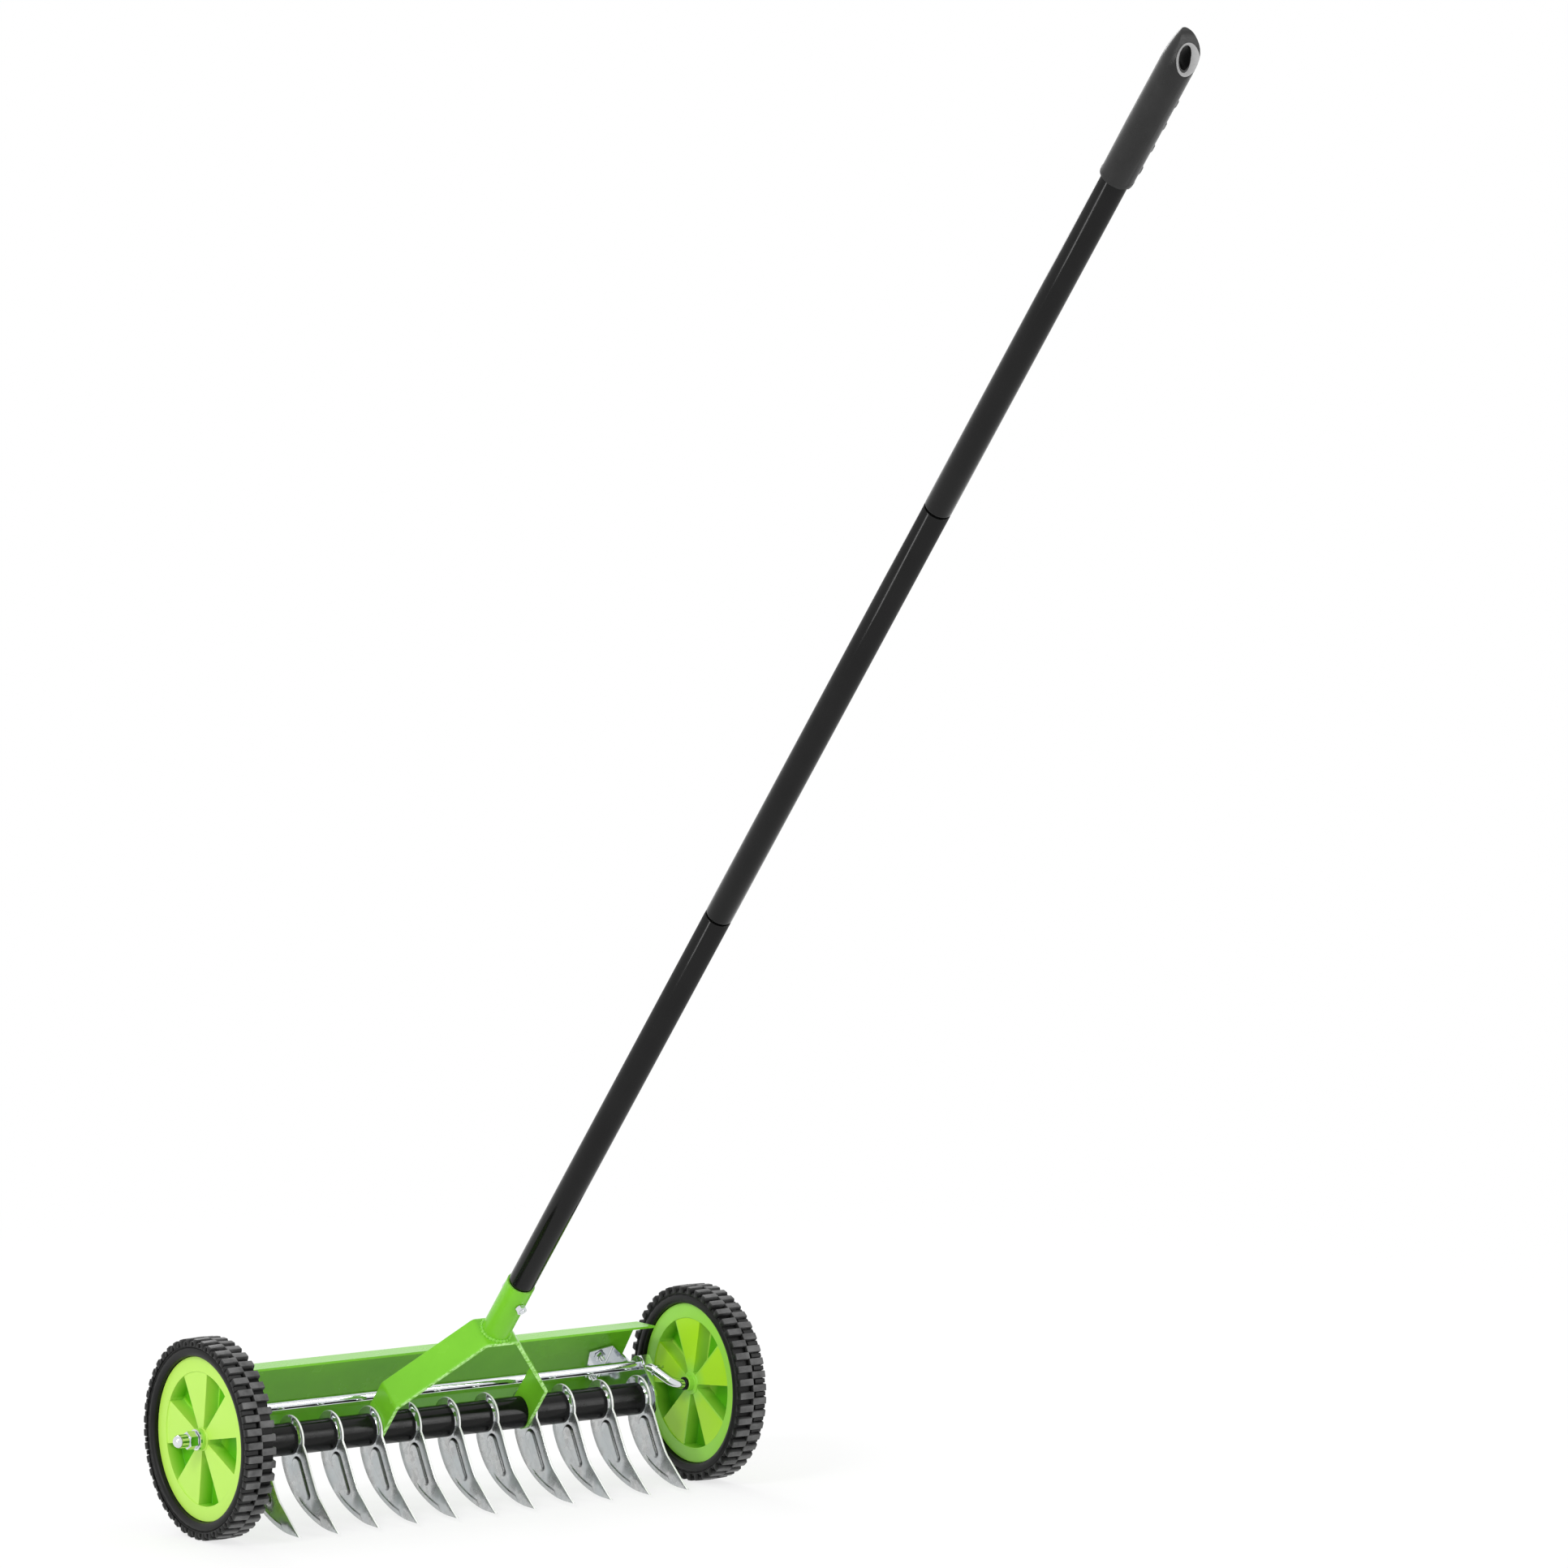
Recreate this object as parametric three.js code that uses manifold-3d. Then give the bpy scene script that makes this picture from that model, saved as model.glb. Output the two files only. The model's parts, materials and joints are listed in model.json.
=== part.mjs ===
// Wheeled lawn scarifier, in millimetres and degrees.
// X runs along the tine shaft to the user's right, Y points forward, away from the user,
// and Z points up. The pieces are laid out round the centre line of the tine shaft, and the
// finished machine is then moved so that its origin is on the ground below its middle.

import * as THREE from 'three';
import { mergeVertices } from 'three/addons/utils/BufferGeometryUtils.js';
import Module from 'manifold-3d';

const wasm = await Module();
wasm.setup();

// Fits, cuts and facets
const seatGap = 0.3;
const runningGap = 0.06;
const overrun = 3;
const weldDistance = 0.0001;
const sliverWidth = 0.01;
const rodSides = 12;
const ringSides = 16;
const tubeSides = 24;
const pinSides = 8;
const hexagonSides = 6;
const bendSteps = 3;
const lobeSteps = 6;
const headSteps = 9;
const eyeSteps = 6;

// Tines
const tineCount = 11;
const tinePitch = 38;
const tineThickness = 2;
const tineRingRadius = 19.5;
const tineReachBack = 74.5;
const tineReachDown = 67;
const tineRibTopRadius = 7.7;
const tineRibEndRadius = 3.6;
const tineRibHeight = 1.4;
const tineRibWall = 1;
const tineRibTopDepth = 20.8;
const tineRibTopBack = 11.2;
const tineRibEndDepth = 42.8;
const tineRibEndBack = 27.8;
const tineHeadBackTurn = 14;
const tineHeadFrontTurn = 8;
const tineRibTopSteps = 5;
// Points of the blade's two edges: shares of the reach back and of the reach down.
const bladeFrontShares = [[-0.177, 0.29], [-0.125, 0.425], [-0.035, 0.572], [0.089, 0.701],
  [0.268, 0.827], [0.494, 0.928], [0.733, 0.988]];
const bladeBackShares = [[0.89, 0.906], [0.678, 0.709], [0.57, 0.604], [0.47, 0.433],
  [0.396, 0.284], [0.329, 0.145]];

// Tine shaft, its spacer tubes and its nuts
const shaftRadius = 5;
const spacerRadius = 13.5;
const spacerBoreRadius = 5.6;
const endWasherThickness = 3.4;
const endWasherRadius = 11;
const shaftNutHeight = 5;
const shaftNutFlats = 16;
const shaftEndLength = 2;

// Hood, a bent sheet
const hoodOverhang = 14;
const hoodThickness = 1.8;
const hoodBendRadius = 3;
const hoodTopHeight = 57.2;
const hoodTopBack = 5;
const hoodTopWidth = 28;
const hoodFaceAngle = 54;
const hoodFaceWidth = 60;
const hoodLipTurn = 57.5;
const hoodLipWidth = 16;

// End brackets, bent sheet
const bracketThickness = 2;
const bracketEndRadius = 19;
const bracketRodLobeRadius = 8;
const bracketFlangeWidth = 24;
const bracketFlangeStart = 22;
const bracketFlangeTaper = 7;
const bracketFlangeSlope = 5;
const bracketNeckOut = 11.3;
const bracketNeckUp = 0.7;
const bracketFlangeEnd = 58;
const bracketTabReach = 8;
const bracketTabWidth = 9;
const bracketTabTurn = 140;
const bracketLobeFrom = 40;
const bracketLobeTo = 165;
const bracketEndFrom = 128;
const bracketEndTo = 310;

// Screws and nuts that hold the brackets to the hood
const hoodScrewUpper = 31;
const hoodScrewLower = 52.5;
const hoodScrewInset = 13;
const hoodScrewRadius = 2.5;
const hoodScrewHeadRadius = 4.7;
const hoodScrewHeadHeight = 2.6;
const hoodScrewLength = 13;
const hoodNutFlats = 8;
const hoodNutHeight = 4;
const screwProud = 1;
const panHeadTurn = 55;

// Crank axle
const rodRadius = 4;
const rodForward = 8.5;
const rodUp = 26.6;
const crankRadius = 29.5;
const crankDroop = 31;
const crankFirstBendOut = 8.4;
const crankSecondBendOut = 19.8;
const crankBendRadius = 12;
const pinRadius = 1;
const pinLength = 15;
const pinHeadRadius = 2;
const pinHeadHeight = 1.6;
const pinPlaceShare = 0.32;

// Wheels
const wheelClearance = 15.5;
const rimRadius = 67.2;
const rimWidth = 16;
const rimRingWidth = 12.4;
const rimWeb = 2.5;
const rimSectors = 5;
const rimPocketHubRadius = 10.5;
const rimPhaseLeft = 7.4;
const rimPhaseRight = 48;
const hubRadius = 9;
const hubInnerRadius = 6.6;
const hubInnerReach = 13;
const hubOuterReach = 11.5;
const tyreRadius = 82.5;
const tyreWidth = 27;
const lugHeight = 4.2;
const lugCount = 46;
const lugShare = 0.54;
const lugRoot = 2;
const beadWidth = 21.5;
const beadHeight = 2.6;

// Washers and cap nuts on the axle ends
const innerWasherRadius = 5.5;
const outerWasherRadius = 8.6;
const axleWasherThickness = 1.6;
const washerBoreGap = 0.3;
const capNutFlats = 13;
const capNutHexHeight = 8;
const capNutDomeRadius = 5.6;
const capNutBarrelHeight = 6.5;
const capNutBoreDepth = 13;
const capNutDomeTurns = [0, 25, 50, 72];

// Yoke and handle socket
const yokeThickness = 3;
const yokeWidth = 28.4;
const yokeBendRadius = 3;
const yokeEarHeight = 41;
const yokeTopHeight = 112.3;
const yokeTopHalf = 14;
const yokeTineCount = 2;
const socketRadius = 12;
const socketWall = 1.6;
const socketEnd = 170.8;
const weldHeight = 4;
const weldWidth = 2;
const socketScrewBelowEnd = 17;
const socketScrewRadius = 2.5;
const socketScrewHeadRadius = 4.6;
const socketScrewHeadHeight = 2.6;

// Handle tubes and grip
const handleAngle = 49.1;
const tubeRadius = 11;
const tubeWall = 1.2;
const tubeLowerVisible = 433;
const tubeMiddleVisible = 446;
const tubeUpperVisible = 340;
const spigotLength = 40;
const spigotNeck = 3;
const gripRadius = 13.4;
const gripLength = 137.4;
const gripSocketDepth = 92;
const gripMouthRadius = 13.6;
const gripMouthHeight = 4;
const gripRibCount = 4;
const gripRibPitch = 21.7;
const gripRibFirst = 14;
const gripRibHeight = 1.6;
const gripRibWidth = 6;
const gripRibBand = 16;
const gripTipLength = 28;
const gripEyeLength = 16;
const gripEyeWidth = 11;
const gripEyeBelowEnd = 16;
// Points of the grip's end: shares of its radius and of the end's length, for the sloped face
// with the eye, for the rounded side that faces it, and for the two flanks.
const gripFacetShares = [[-1, 0], [-0.54, 0.46], [0.07, 0.855], [0.56, 1]];
const gripBackShares = [[0.82, 1], [0.96, 0.87], [1, 0.6], [1, 0]];
const gripFlankShares = [[1, 0.2], [0.93, 0.46], [0.74, 0.75], [0.52, 0.92], [0.35, 1]];

// Sizes worked out from the ones above
const turnX = new THREE.Vector3(1, 0, 0);
const shaftBore = shaftRadius + seatGap;
const lastTine = (tineCount - 1) / 2 * tinePitch;
const tineHalf = tineThickness / 2;
const endWasherStart = lastTine + tineHalf + seatGap;
const plateInner = endWasherStart + endWasherThickness + seatGap;
const plateOuter = plateInner + bracketThickness;
const shaftNutStart = plateOuter + seatGap;
const shaftHalf = shaftNutStart + shaftNutHeight + shaftEndLength;
const hoodHalf = plateOuter + hoodOverhang;
const wheelMiddle = hoodHalf + wheelClearance + tyreWidth / 2;
const crankFirstBend = plateOuter + crankFirstBendOut;
const crankSecondBend = plateOuter + crankSecondBendOut;
const hoodTop = new THREE.Vector2(hoodTopBack + hoodTopWidth, hoodTopHeight);
const faceDirection = directionAt(-hoodFaceAngle);
const faceNormal = directionAt(90 - hoodFaceAngle);
const tineTip = new THREE.Vector2(-tineReachBack, -tineReachDown);
const rodCentre = new THREE.Vector2(rodForward, rodUp);
const wheelCentre = rodCentre.clone().add(directionAt(180 + crankDroop).multiplyScalar(crankRadius));
const tyreBore = rimRadius + seatGap;
const treadRadius = tyreRadius - lugHeight;
const hubBore = facetedBore(rodRadius + runningGap, tubeSides);
const bracketRodBore = facetedBore(rodRadius + runningGap, tubeSides);
const axleWasherBore = rodRadius + washerBoreGap;
const innerWasherStart = wheelMiddle - hubInnerReach - seatGap - axleWasherThickness;
const outerWasherStart = wheelMiddle + hubOuterReach + seatGap;
const capNutStart = outerWasherStart + axleWasherThickness + seatGap;
const capNutTip = capNutHexHeight + capNutBarrelHeight + capNutDomeRadius;
const axleHalf = capNutStart + capNutBoreDepth - seatGap;
const socketStart = yokeTopHeight + seatGap;
const spigotRadius = socketRadius - socketWall - seatGap;
const tubeSpigotRadius = tubeRadius - tubeWall - seatGap;
const tubeLowerEnd = socketEnd + tubeLowerVisible;
const tubeMiddleEnd = tubeLowerEnd + tubeMiddleVisible;
const gripStart = tubeMiddleEnd + tubeUpperVisible;
const gripEnd = gripStart + gripLength;

// Materials
const hoodPaint = new THREE.MeshStandardMaterial({ color: '#4f9a3c', roughness: 0.35, metalness: 0.1 });
const limePlastic = new THREE.MeshStandardMaterial({ color: '#9ccf2e', roughness: 0.45, metalness: 0 });
const tyreRubber = new THREE.MeshStandardMaterial({ color: '#232325', roughness: 0.7, metalness: 0 });
const galvanised = new THREE.MeshStandardMaterial({ color: '#b4b8bb', roughness: 0.4, metalness: 0.9 });
const zincPlate = new THREE.MeshStandardMaterial({ color: '#c4c8ca', roughness: 0.22, metalness: 1 });
const blackPlastic = new THREE.MeshStandardMaterial({ color: '#1b1b1d', roughness: 0.4, metalness: 0 });
const blackPaint = new THREE.MeshStandardMaterial({ color: '#141416', roughness: 0.18, metalness: 0.2 });
const gripPlastic = new THREE.MeshStandardMaterial({ color: '#2a2a2c', roughness: 0.5, metalness: 0 });

// Small helpers
function directionAt(degrees) {
  const angle = THREE.MathUtils.degToRad(degrees);
  return new THREE.Vector2(Math.cos(angle), Math.sin(angle));
}

function facetedBore(radius, sides) {
  // The corner radius of a bore whose flats clear a round shaft of the given radius.
  return radius / Math.cos(Math.PI / sides);
}

function enclosedVolume(positions, corners) {
  const a = new THREE.Vector3();
  const b = new THREE.Vector3();
  const c = new THREE.Vector3();
  let sum = 0;
  for (let i = 0; i < corners.length; i += 3) {
    a.fromArray(positions, corners[i] * 3);
    b.fromArray(positions, corners[i + 1] * 3);
    c.fromArray(positions, corners[i + 2] * 3);
    sum += a.dot(b.cross(c)) / 6;
  }
  return sum;
}

// Turns any closed geometry into a solid whose faces point outwards.
function solidOf(geometry) {
  const bare = geometry.clone();
  bare.deleteAttribute('normal');
  bare.deleteAttribute('uv');
  const merged = mergeVertices(bare, weldDistance);
  const positions = Float32Array.from(merged.attributes.position.array);
  const source = merged.index.array;
  const kept = [];
  for (let i = 0; i < source.length; i += 3) {
    const [a, b, c] = [source[i], source[i + 1], source[i + 2]];
    if (a !== b && b !== c && c !== a) kept.push(a, b, c);
  }
  if (enclosedVolume(positions, kept) < 0) kept.reverse();
  const triVerts = Uint32Array.from(kept);
  return new wasm.Manifold(new wasm.Mesh({ numProp: 3, vertProperties: positions, triVerts }));
}

function geometryOf(solid) {
  const surface = solid.asOriginal().simplify(sliverWidth).getMesh();
  const geometry = new THREE.BufferGeometry();
  geometry.setAttribute('position', new THREE.BufferAttribute(surface.vertProperties, 3));
  geometry.setIndex(new THREE.BufferAttribute(surface.triVerts, 1));
  geometry.computeVertexNormals();
  return geometry;
}

function joined(first, ...others) {
  return others.reduce((whole, piece) => whole.add(piece), first);
}

// A body turned about X: its section is a list of [along X, radius].
function turned(section, sides) {
  const points = section.map(([along, radius]) => new THREE.Vector2(radius, along));
  const geometry = new THREE.LatheGeometry(points, sides);
  geometry.rotateZ(-Math.PI / 2);
  return geometry;
}

function ring(from, to, inner, outer, sides) {
  return turned([[from, inner], [to, inner], [to, outer], [from, outer], [from, inner]], sides);
}

function rodAlongX(from, to, radius, sides) {
  return turned([[from, 0], [from, radius], [to, radius], [to, 0]], sides);
}

// A body turned about Z.
function turnedUp(section, sides) {
  const points = section.map(([along, radius]) => new THREE.Vector2(radius, along));
  const geometry = new THREE.LatheGeometry(points, sides);
  geometry.rotateX(Math.PI / 2);
  return geometry;
}

// A flat outline in the Y-Z plane, thickened along X between two places.
function plateAcross(outline, from, to, holes = []) {
  const shape = new THREE.Shape(outline);
  shape.holes = holes.map((hole) => new THREE.Path(hole));
  const geometry = new THREE.ExtrudeGeometry(shape, { depth: to - from, bevelEnabled: false });
  geometry.applyMatrix4(new THREE.Matrix4().set(0, 0, 1, from, 1, 0, 0, 0, 0, 1, 0, 0, 0, 0, 0, 1));
  return geometry;
}

function circleOf(centre, radius, sides, startTurn = 0) {
  const points = [];
  for (let i = 0; i < sides; i += 1) {
    const step = directionAt(startTurn + i / sides * 360);
    points.push(centre.clone().add(step.multiplyScalar(radius)));
  }
  return points;
}

function arcOf(centre, radius, fromDegrees, toDegrees, steps) {
  const points = [];
  for (let i = 0; i <= steps; i += 1) {
    const step = directionAt(fromDegrees + (toDegrees - fromDegrees) * i / steps);
    points.push(centre.clone().add(step.multiplyScalar(radius)));
  }
  return points;
}

function hexagon(flats) {
  const corner = facetedBore(flats / 2, hexagonSides);
  return circleOf(new THREE.Vector2(), corner, hexagonSides, 180 / hexagonSides);
}

// The line of a sheet's face moved sideways, to the left of its run, with rounded bends.
function sheetFace(line, shift, bend) {
  const face = [];
  const last = line.length - 1;
  const along = line.slice(1).map((point, i) => point.clone().sub(line[i]).normalize());
  const left = along.map((step) => new THREE.Vector2(-step.y, step.x));
  face.push(line[0].clone().addScaledVector(left[0], shift));
  for (let i = 1; i < last; i += 1) {
    const half = along[i - 1].angleTo(along[i]) / 2;
    const inward = left[i - 1].clone().add(left[i]).normalize();
    const centre = line[i].clone().addScaledVector(inward, -bend / Math.cos(half));
    const start = THREE.MathUtils.radToDeg(left[i - 1].angle());
    const turn = THREE.MathUtils.radToDeg(half * 2);
    face.push(...arcOf(centre, bend + shift, start, start - turn, bendSteps));
  }
  face.push(line[last].clone().addScaledVector(left[last - 1], shift));
  return face;
}

// The section of a sheet that bends to the right all along its run. The line is its inner face.
function bentSheet(line, thickness, bend) {
  return [...sheetFace(line, thickness, bend), ...sheetFace(line, 0, bend).reverse()];
}

// A curve through given stations, which keeps one station for each step of a sweep.
class StationCurve extends THREE.Curve {
  constructor(stations) {
    super();
    this.stations = stations;
  }

  getPoint(t, target = new THREE.Vector3()) {
    return target.copy(this.stations[Math.round(t * (this.stations.length - 1))]);
  }

  getPointAt(u, target) {
    return this.getPoint(u, target);
  }

  getTangentAt(u, target = new THREE.Vector3()) {
    const here = Math.round(u * (this.stations.length - 1));
    const before = this.stations[Math.max(here - 1, 0)];
    const after = this.stations[Math.min(here + 1, this.stations.length - 1)];
    return target.copy(after).sub(before).normalize();
  }
}

// Stations along a bent rod: each bend is an arc of the given radius.
function bentRodStations(corners, bend) {
  const stations = [corners[0].clone()];
  for (let i = 1; i < corners.length - 1; i += 1) {
    const into = corners[i].clone().sub(corners[i - 1]).normalize();
    const out = corners[i + 1].clone().sub(corners[i]).normalize();
    const turn = into.angleTo(out);
    const inward = out.clone().sub(into).normalize();
    const centre = corners[i].clone().addScaledVector(inward, bend / Math.cos(turn / 2));
    const spoke = corners[i].clone().addScaledVector(into, -bend * Math.tan(turn / 2)).sub(centre);
    const axis = into.clone().cross(out).normalize();
    for (let k = 0; k <= bendSteps; k += 1) {
      const angle = turn * k / bendSteps;
      stations.push(spoke.clone().applyAxisAngle(axis, angle).add(centre));
    }
  }
  stations.push(corners[corners.length - 1].clone());
  return stations;
}

function sweptRod(stations, radius) {
  const shape = new THREE.Shape(circleOf(new THREE.Vector2(), radius, rodSides));
  const extrudePath = new StationCurve(stations);
  return new THREE.ExtrudeGeometry(shape, { steps: stations.length - 1, extrudePath });
}

// Names and places each piece.
const part = new THREE.Group();
const handleGroup = new THREE.Group();
handleGroup.rotation.x = THREE.MathUtils.degToRad(90 - handleAngle);
part.add(handleGroup);

function addPiece(group, name, solid, material) {
  const mesh = new THREE.Mesh(geometryOf(solid), material.clone());
  mesh.name = name;
  group.add(mesh);
  return mesh;
}

// Left pieces are mirror images of right ones.
function mirrored(solid) {
  const geometry = geometryOf(solid);
  geometry.scale(-1, 1, 1);
  return solidOf(geometry);
}

const ends = [['left', -1], ['right', 1]];

function addPair(group, name, rightSolid, material) {
  addPiece(group, `${name}_left`, mirrored(rightSolid), material);
  addPiece(group, `${name}_right`, rightSolid, material);
}

// Tines: stamped claws with a ring round the shaft and a long teardrop rib.
function tineOutline() {
  const reach = (share) => new THREE.Vector2(-share[0] * tineReachBack, -share[1] * tineReachDown);
  const front = bladeFrontShares.map(reach);
  const back = bladeBackShares.map(reach);
  const startTurn = THREE.MathUtils.radToDeg(front[0].angle());
  const endTurn = THREE.MathUtils.radToDeg(back[back.length - 1].angle());
  const headFrom = endTurn - tineHeadBackTurn;
  const headTo = startTurn - 360 + tineHeadFrontTurn;
  const head = arcOf(new THREE.Vector2(), tineRingRadius, headFrom, headTo, headSteps);
  return [...head, ...front, tineTip, ...back];
}

// Two circles joined by their outer tangents.
function teardrop(grow) {
  const top = new THREE.Vector2(-tineRibTopBack, -tineRibTopDepth);
  const end = new THREE.Vector2(-tineRibEndBack, -tineRibEndDepth);
  const line = end.clone().sub(top);
  const heading = THREE.MathUtils.radToDeg(line.angle());
  const lean = THREE.MathUtils.radToDeg(Math.acos((tineRibTopRadius - tineRibEndRadius) / line.length()));
  const topArc = arcOf(top, tineRibTopRadius + grow, heading + lean, heading + 360 - lean, tineRibTopSteps);
  const endArc = arcOf(end, tineRibEndRadius + grow, heading - lean, heading + lean, bendSteps);
  return [...topArc, ...endArc];
}

function tine() {
  const bore = circleOf(new THREE.Vector2(), shaftBore, rodSides);
  const blade = solidOf(plateAcross(tineOutline(), -tineHalf, tineHalf, [bore]));
  const rib = solidOf(plateAcross(teardrop(0), -tineHalf - tineRibHeight, 0));
  const hollowFrom = tineHalf - tineRibHeight;
  const hollow = solidOf(plateAcross(teardrop(-tineRibWall), hollowFrom, tineHalf + overrun));
  return blade.add(rib).subtract(hollow);
}

const tineSolid = tine();
for (let i = 0; i < tineCount; i += 1) {
  const name = `tine_${String(i + 1).padStart(2, '0')}`;
  const place = (i - (tineCount - 1) / 2) * tinePitch;
  addPiece(part, name, tineSolid.translate(place, 0, 0), galvanised);
}

// Spacer tubes between the tines. The yoke's ears take some of the room of two of them.
const earRoom = yokeThickness + seatGap;
const leftEarTine = (tineCount - 1) / 2 - yokeTineCount;
const rightEarTine = (tineCount - 1) / 2 + yokeTineCount;
for (let i = 0; i < tineCount - 1; i += 1) {
  const leftTine = (i - (tineCount - 1) / 2) * tinePitch;
  let from = leftTine + tineHalf + seatGap;
  let to = leftTine + tinePitch - tineHalf - seatGap;
  if (i === leftEarTine) from += earRoom;
  if (i + 1 === rightEarTine) to -= earRoom;
  const name = `spacer_${String(i + 1).padStart(2, '0')}`;
  addPiece(part, name, solidOf(ring(from, to, spacerBoreRadius, spacerRadius, ringSides)), blackPlastic);
}

// Shaft with its end washers and nuts
addPiece(part, 'tine_shaft', solidOf(rodAlongX(-shaftHalf, shaftHalf, shaftRadius, rodSides)), zincPlate);
const endWasherTo = endWasherStart + endWasherThickness;
const endWasher = solidOf(ring(endWasherStart, endWasherTo, shaftBore, endWasherRadius, rodSides));
addPair(part, 'shaft_washer', endWasher, zincPlate);
const shaftNutHole = circleOf(new THREE.Vector2(), shaftBore, rodSides);
const shaftNutTo = shaftNutStart + shaftNutHeight;
const shaftNut = solidOf(plateAcross(hexagon(shaftNutFlats), shaftNutStart, shaftNutTo, [shaftNutHole]));
addPair(part, 'shaft_nut', shaftNut, zincPlate);

// Where a place on the hood's main face lies: distance down the face, and distance out of it.
function onFace(down, out = 0) {
  return hoodTop.clone().addScaledVector(faceDirection, down).addScaledVector(faceNormal, out);
}

// A body whose axis is square to the hood's main face, built upwards along Z.
function squareToFace(geometry, across, down) {
  const place = onFace(down);
  geometry.rotateX(-THREE.MathUtils.degToRad(hoodFaceAngle));
  geometry.translate(across, place.x, place.y);
  return geometry;
}

// Hood: one sheet with a level top, a wide sloping face and a lip turned in below it.
const hoodInner = [
  new THREE.Vector2(hoodTopBack, hoodTopHeight),
  hoodTop,
  onFace(hoodFaceWidth),
  onFace(hoodFaceWidth).addScaledVector(directionAt(-hoodFaceAngle - hoodLipTurn), hoodLipWidth),
];
const hoodSection = bentSheet(hoodInner, hoodThickness, hoodBendRadius);
let hood = solidOf(plateAcross(hoodSection, -hoodHalf, hoodHalf));
const screwAcross = plateOuter - hoodScrewInset;
const screwPlaces = [];
for (const [sideName, side] of ends) {
  screwPlaces.push([`${sideName}_upper`, side * screwAcross, hoodScrewUpper]);
  screwPlaces.push([`${sideName}_lower`, side * screwAcross, hoodScrewLower]);
}
const screwHoleRadius = hoodScrewRadius + seatGap;
const screwHoleDepth = hoodThickness + bracketThickness + overrun;
function screwHole(across, down) {
  const section = [[-screwHoleDepth, 0], [-screwHoleDepth, screwHoleRadius],
    [screwHoleDepth, screwHoleRadius], [screwHoleDepth, 0]];
  return solidOf(squareToFace(turnedUp(section, rodSides), across, down));
}
for (const [, across, down] of screwPlaces) hood = hood.subtract(screwHole(across, down));
addPiece(part, 'hood', hood, hoodPaint);

// End brackets: a side plate that carries the shaft and the rod, and a flange on the hood.
function bracket() {
  const backOfFace = -seatGap;
  const flangeTop = onFace(bracketFlangeStart, backOfFace);
  const flangeEnd = onFace(bracketFlangeEnd, backOfFace);
  const neck = rodCentre.clone().add(new THREE.Vector2(bracketNeckOut, bracketNeckUp));
  const lobe = arcOf(rodCentre, bracketRodLobeRadius, bracketLobeFrom, bracketLobeTo, lobeSteps);
  const around = arcOf(new THREE.Vector2(), bracketEndRadius, bracketEndFrom, bracketEndTo, headSteps);
  const outline = [flangeEnd, flangeTop, neck, ...lobe, ...around];
  const shaftHole = circleOf(new THREE.Vector2(), shaftBore, rodSides);
  const rodHole = circleOf(rodCentre, bracketRodBore, tubeSides);
  const plate = solidOf(plateAcross(outline, plateInner, plateOuter, [shaftHole, rodHole]));
  const flangeShape = new THREE.Shape([
    new THREE.Vector2(plateOuter, bracketFlangeStart),
    new THREE.Vector2(plateOuter - bracketFlangeWidth, bracketFlangeStart + bracketFlangeSlope),
    new THREE.Vector2(plateOuter - bracketFlangeWidth + bracketFlangeTaper, bracketFlangeEnd),
    new THREE.Vector2(plateOuter, bracketFlangeEnd),
  ]);
  const flat = new THREE.ExtrudeGeometry(flangeShape, { depth: bracketThickness, bevelEnabled: false });
  flat.translate(0, 0, backOfFace - bracketThickness);
  const flange = solidOf(squareToFace(flat, 0, 0));
  const tabOut = directionAt(bracketTabTurn);
  const tabAcross = directionAt(bracketTabTurn - 90).multiplyScalar(bracketTabWidth / 2);
  const tabInner = rodCentre.clone().addScaledVector(tabOut, bracketRodLobeRadius - bracketThickness);
  const tabOuter = rodCentre.clone().addScaledVector(tabOut, bracketRodLobeRadius);
  const tabOutline = [tabInner.clone().sub(tabAcross), tabInner.clone().add(tabAcross),
    tabOuter.clone().add(tabAcross), tabOuter.clone().sub(tabAcross)];
  const tab = solidOf(plateAcross(tabOutline, plateInner, plateOuter + bracketTabReach));
  let whole = joined(plate, flange, tab);
  for (const down of [hoodScrewUpper, hoodScrewLower]) whole = whole.subtract(screwHole(screwAcross, down));
  return whole;
}
addPair(part, 'bracket', bracket(), zincPlate);

// Pan-head screws through hood and bracket, with nuts inside
const headFace = hoodThickness + seatGap;
function panHead(base, radius, height) {
  const bulge = directionAt(panHeadTurn);
  return [
    [base, radius],
    [base + height * bulge.x, radius * bulge.y + radius * (1 - bulge.y) / 2],
    [base + height * bulge.y, radius * bulge.x],
    [base + height, 0],
  ];
}
for (const [place, across, down] of screwPlaces) {
  const tip = headFace - hoodScrewLength;
  const section = [[tip, 0], [tip, hoodScrewRadius], [headFace, hoodScrewRadius],
    ...panHead(headFace, hoodScrewHeadRadius, hoodScrewHeadHeight)];
  const screw = solidOf(squareToFace(turnedUp(section, rodSides), across, down));
  addPiece(part, `hood_screw_${place}`, screw, zincPlate);
  const nutShape = new THREE.Shape(hexagon(hoodNutFlats));
  nutShape.holes = [new THREE.Path(circleOf(new THREE.Vector2(), screwHoleRadius, rodSides))];
  const nut = new THREE.ExtrudeGeometry(nutShape, { depth: hoodNutHeight, bevelEnabled: false });
  nut.translate(0, 0, -2 * seatGap - bracketThickness - hoodNutHeight);
  addPiece(part, `hood_nut_${place}`, solidOf(squareToFace(nut, across, down)), zincPlate);
}

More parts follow.
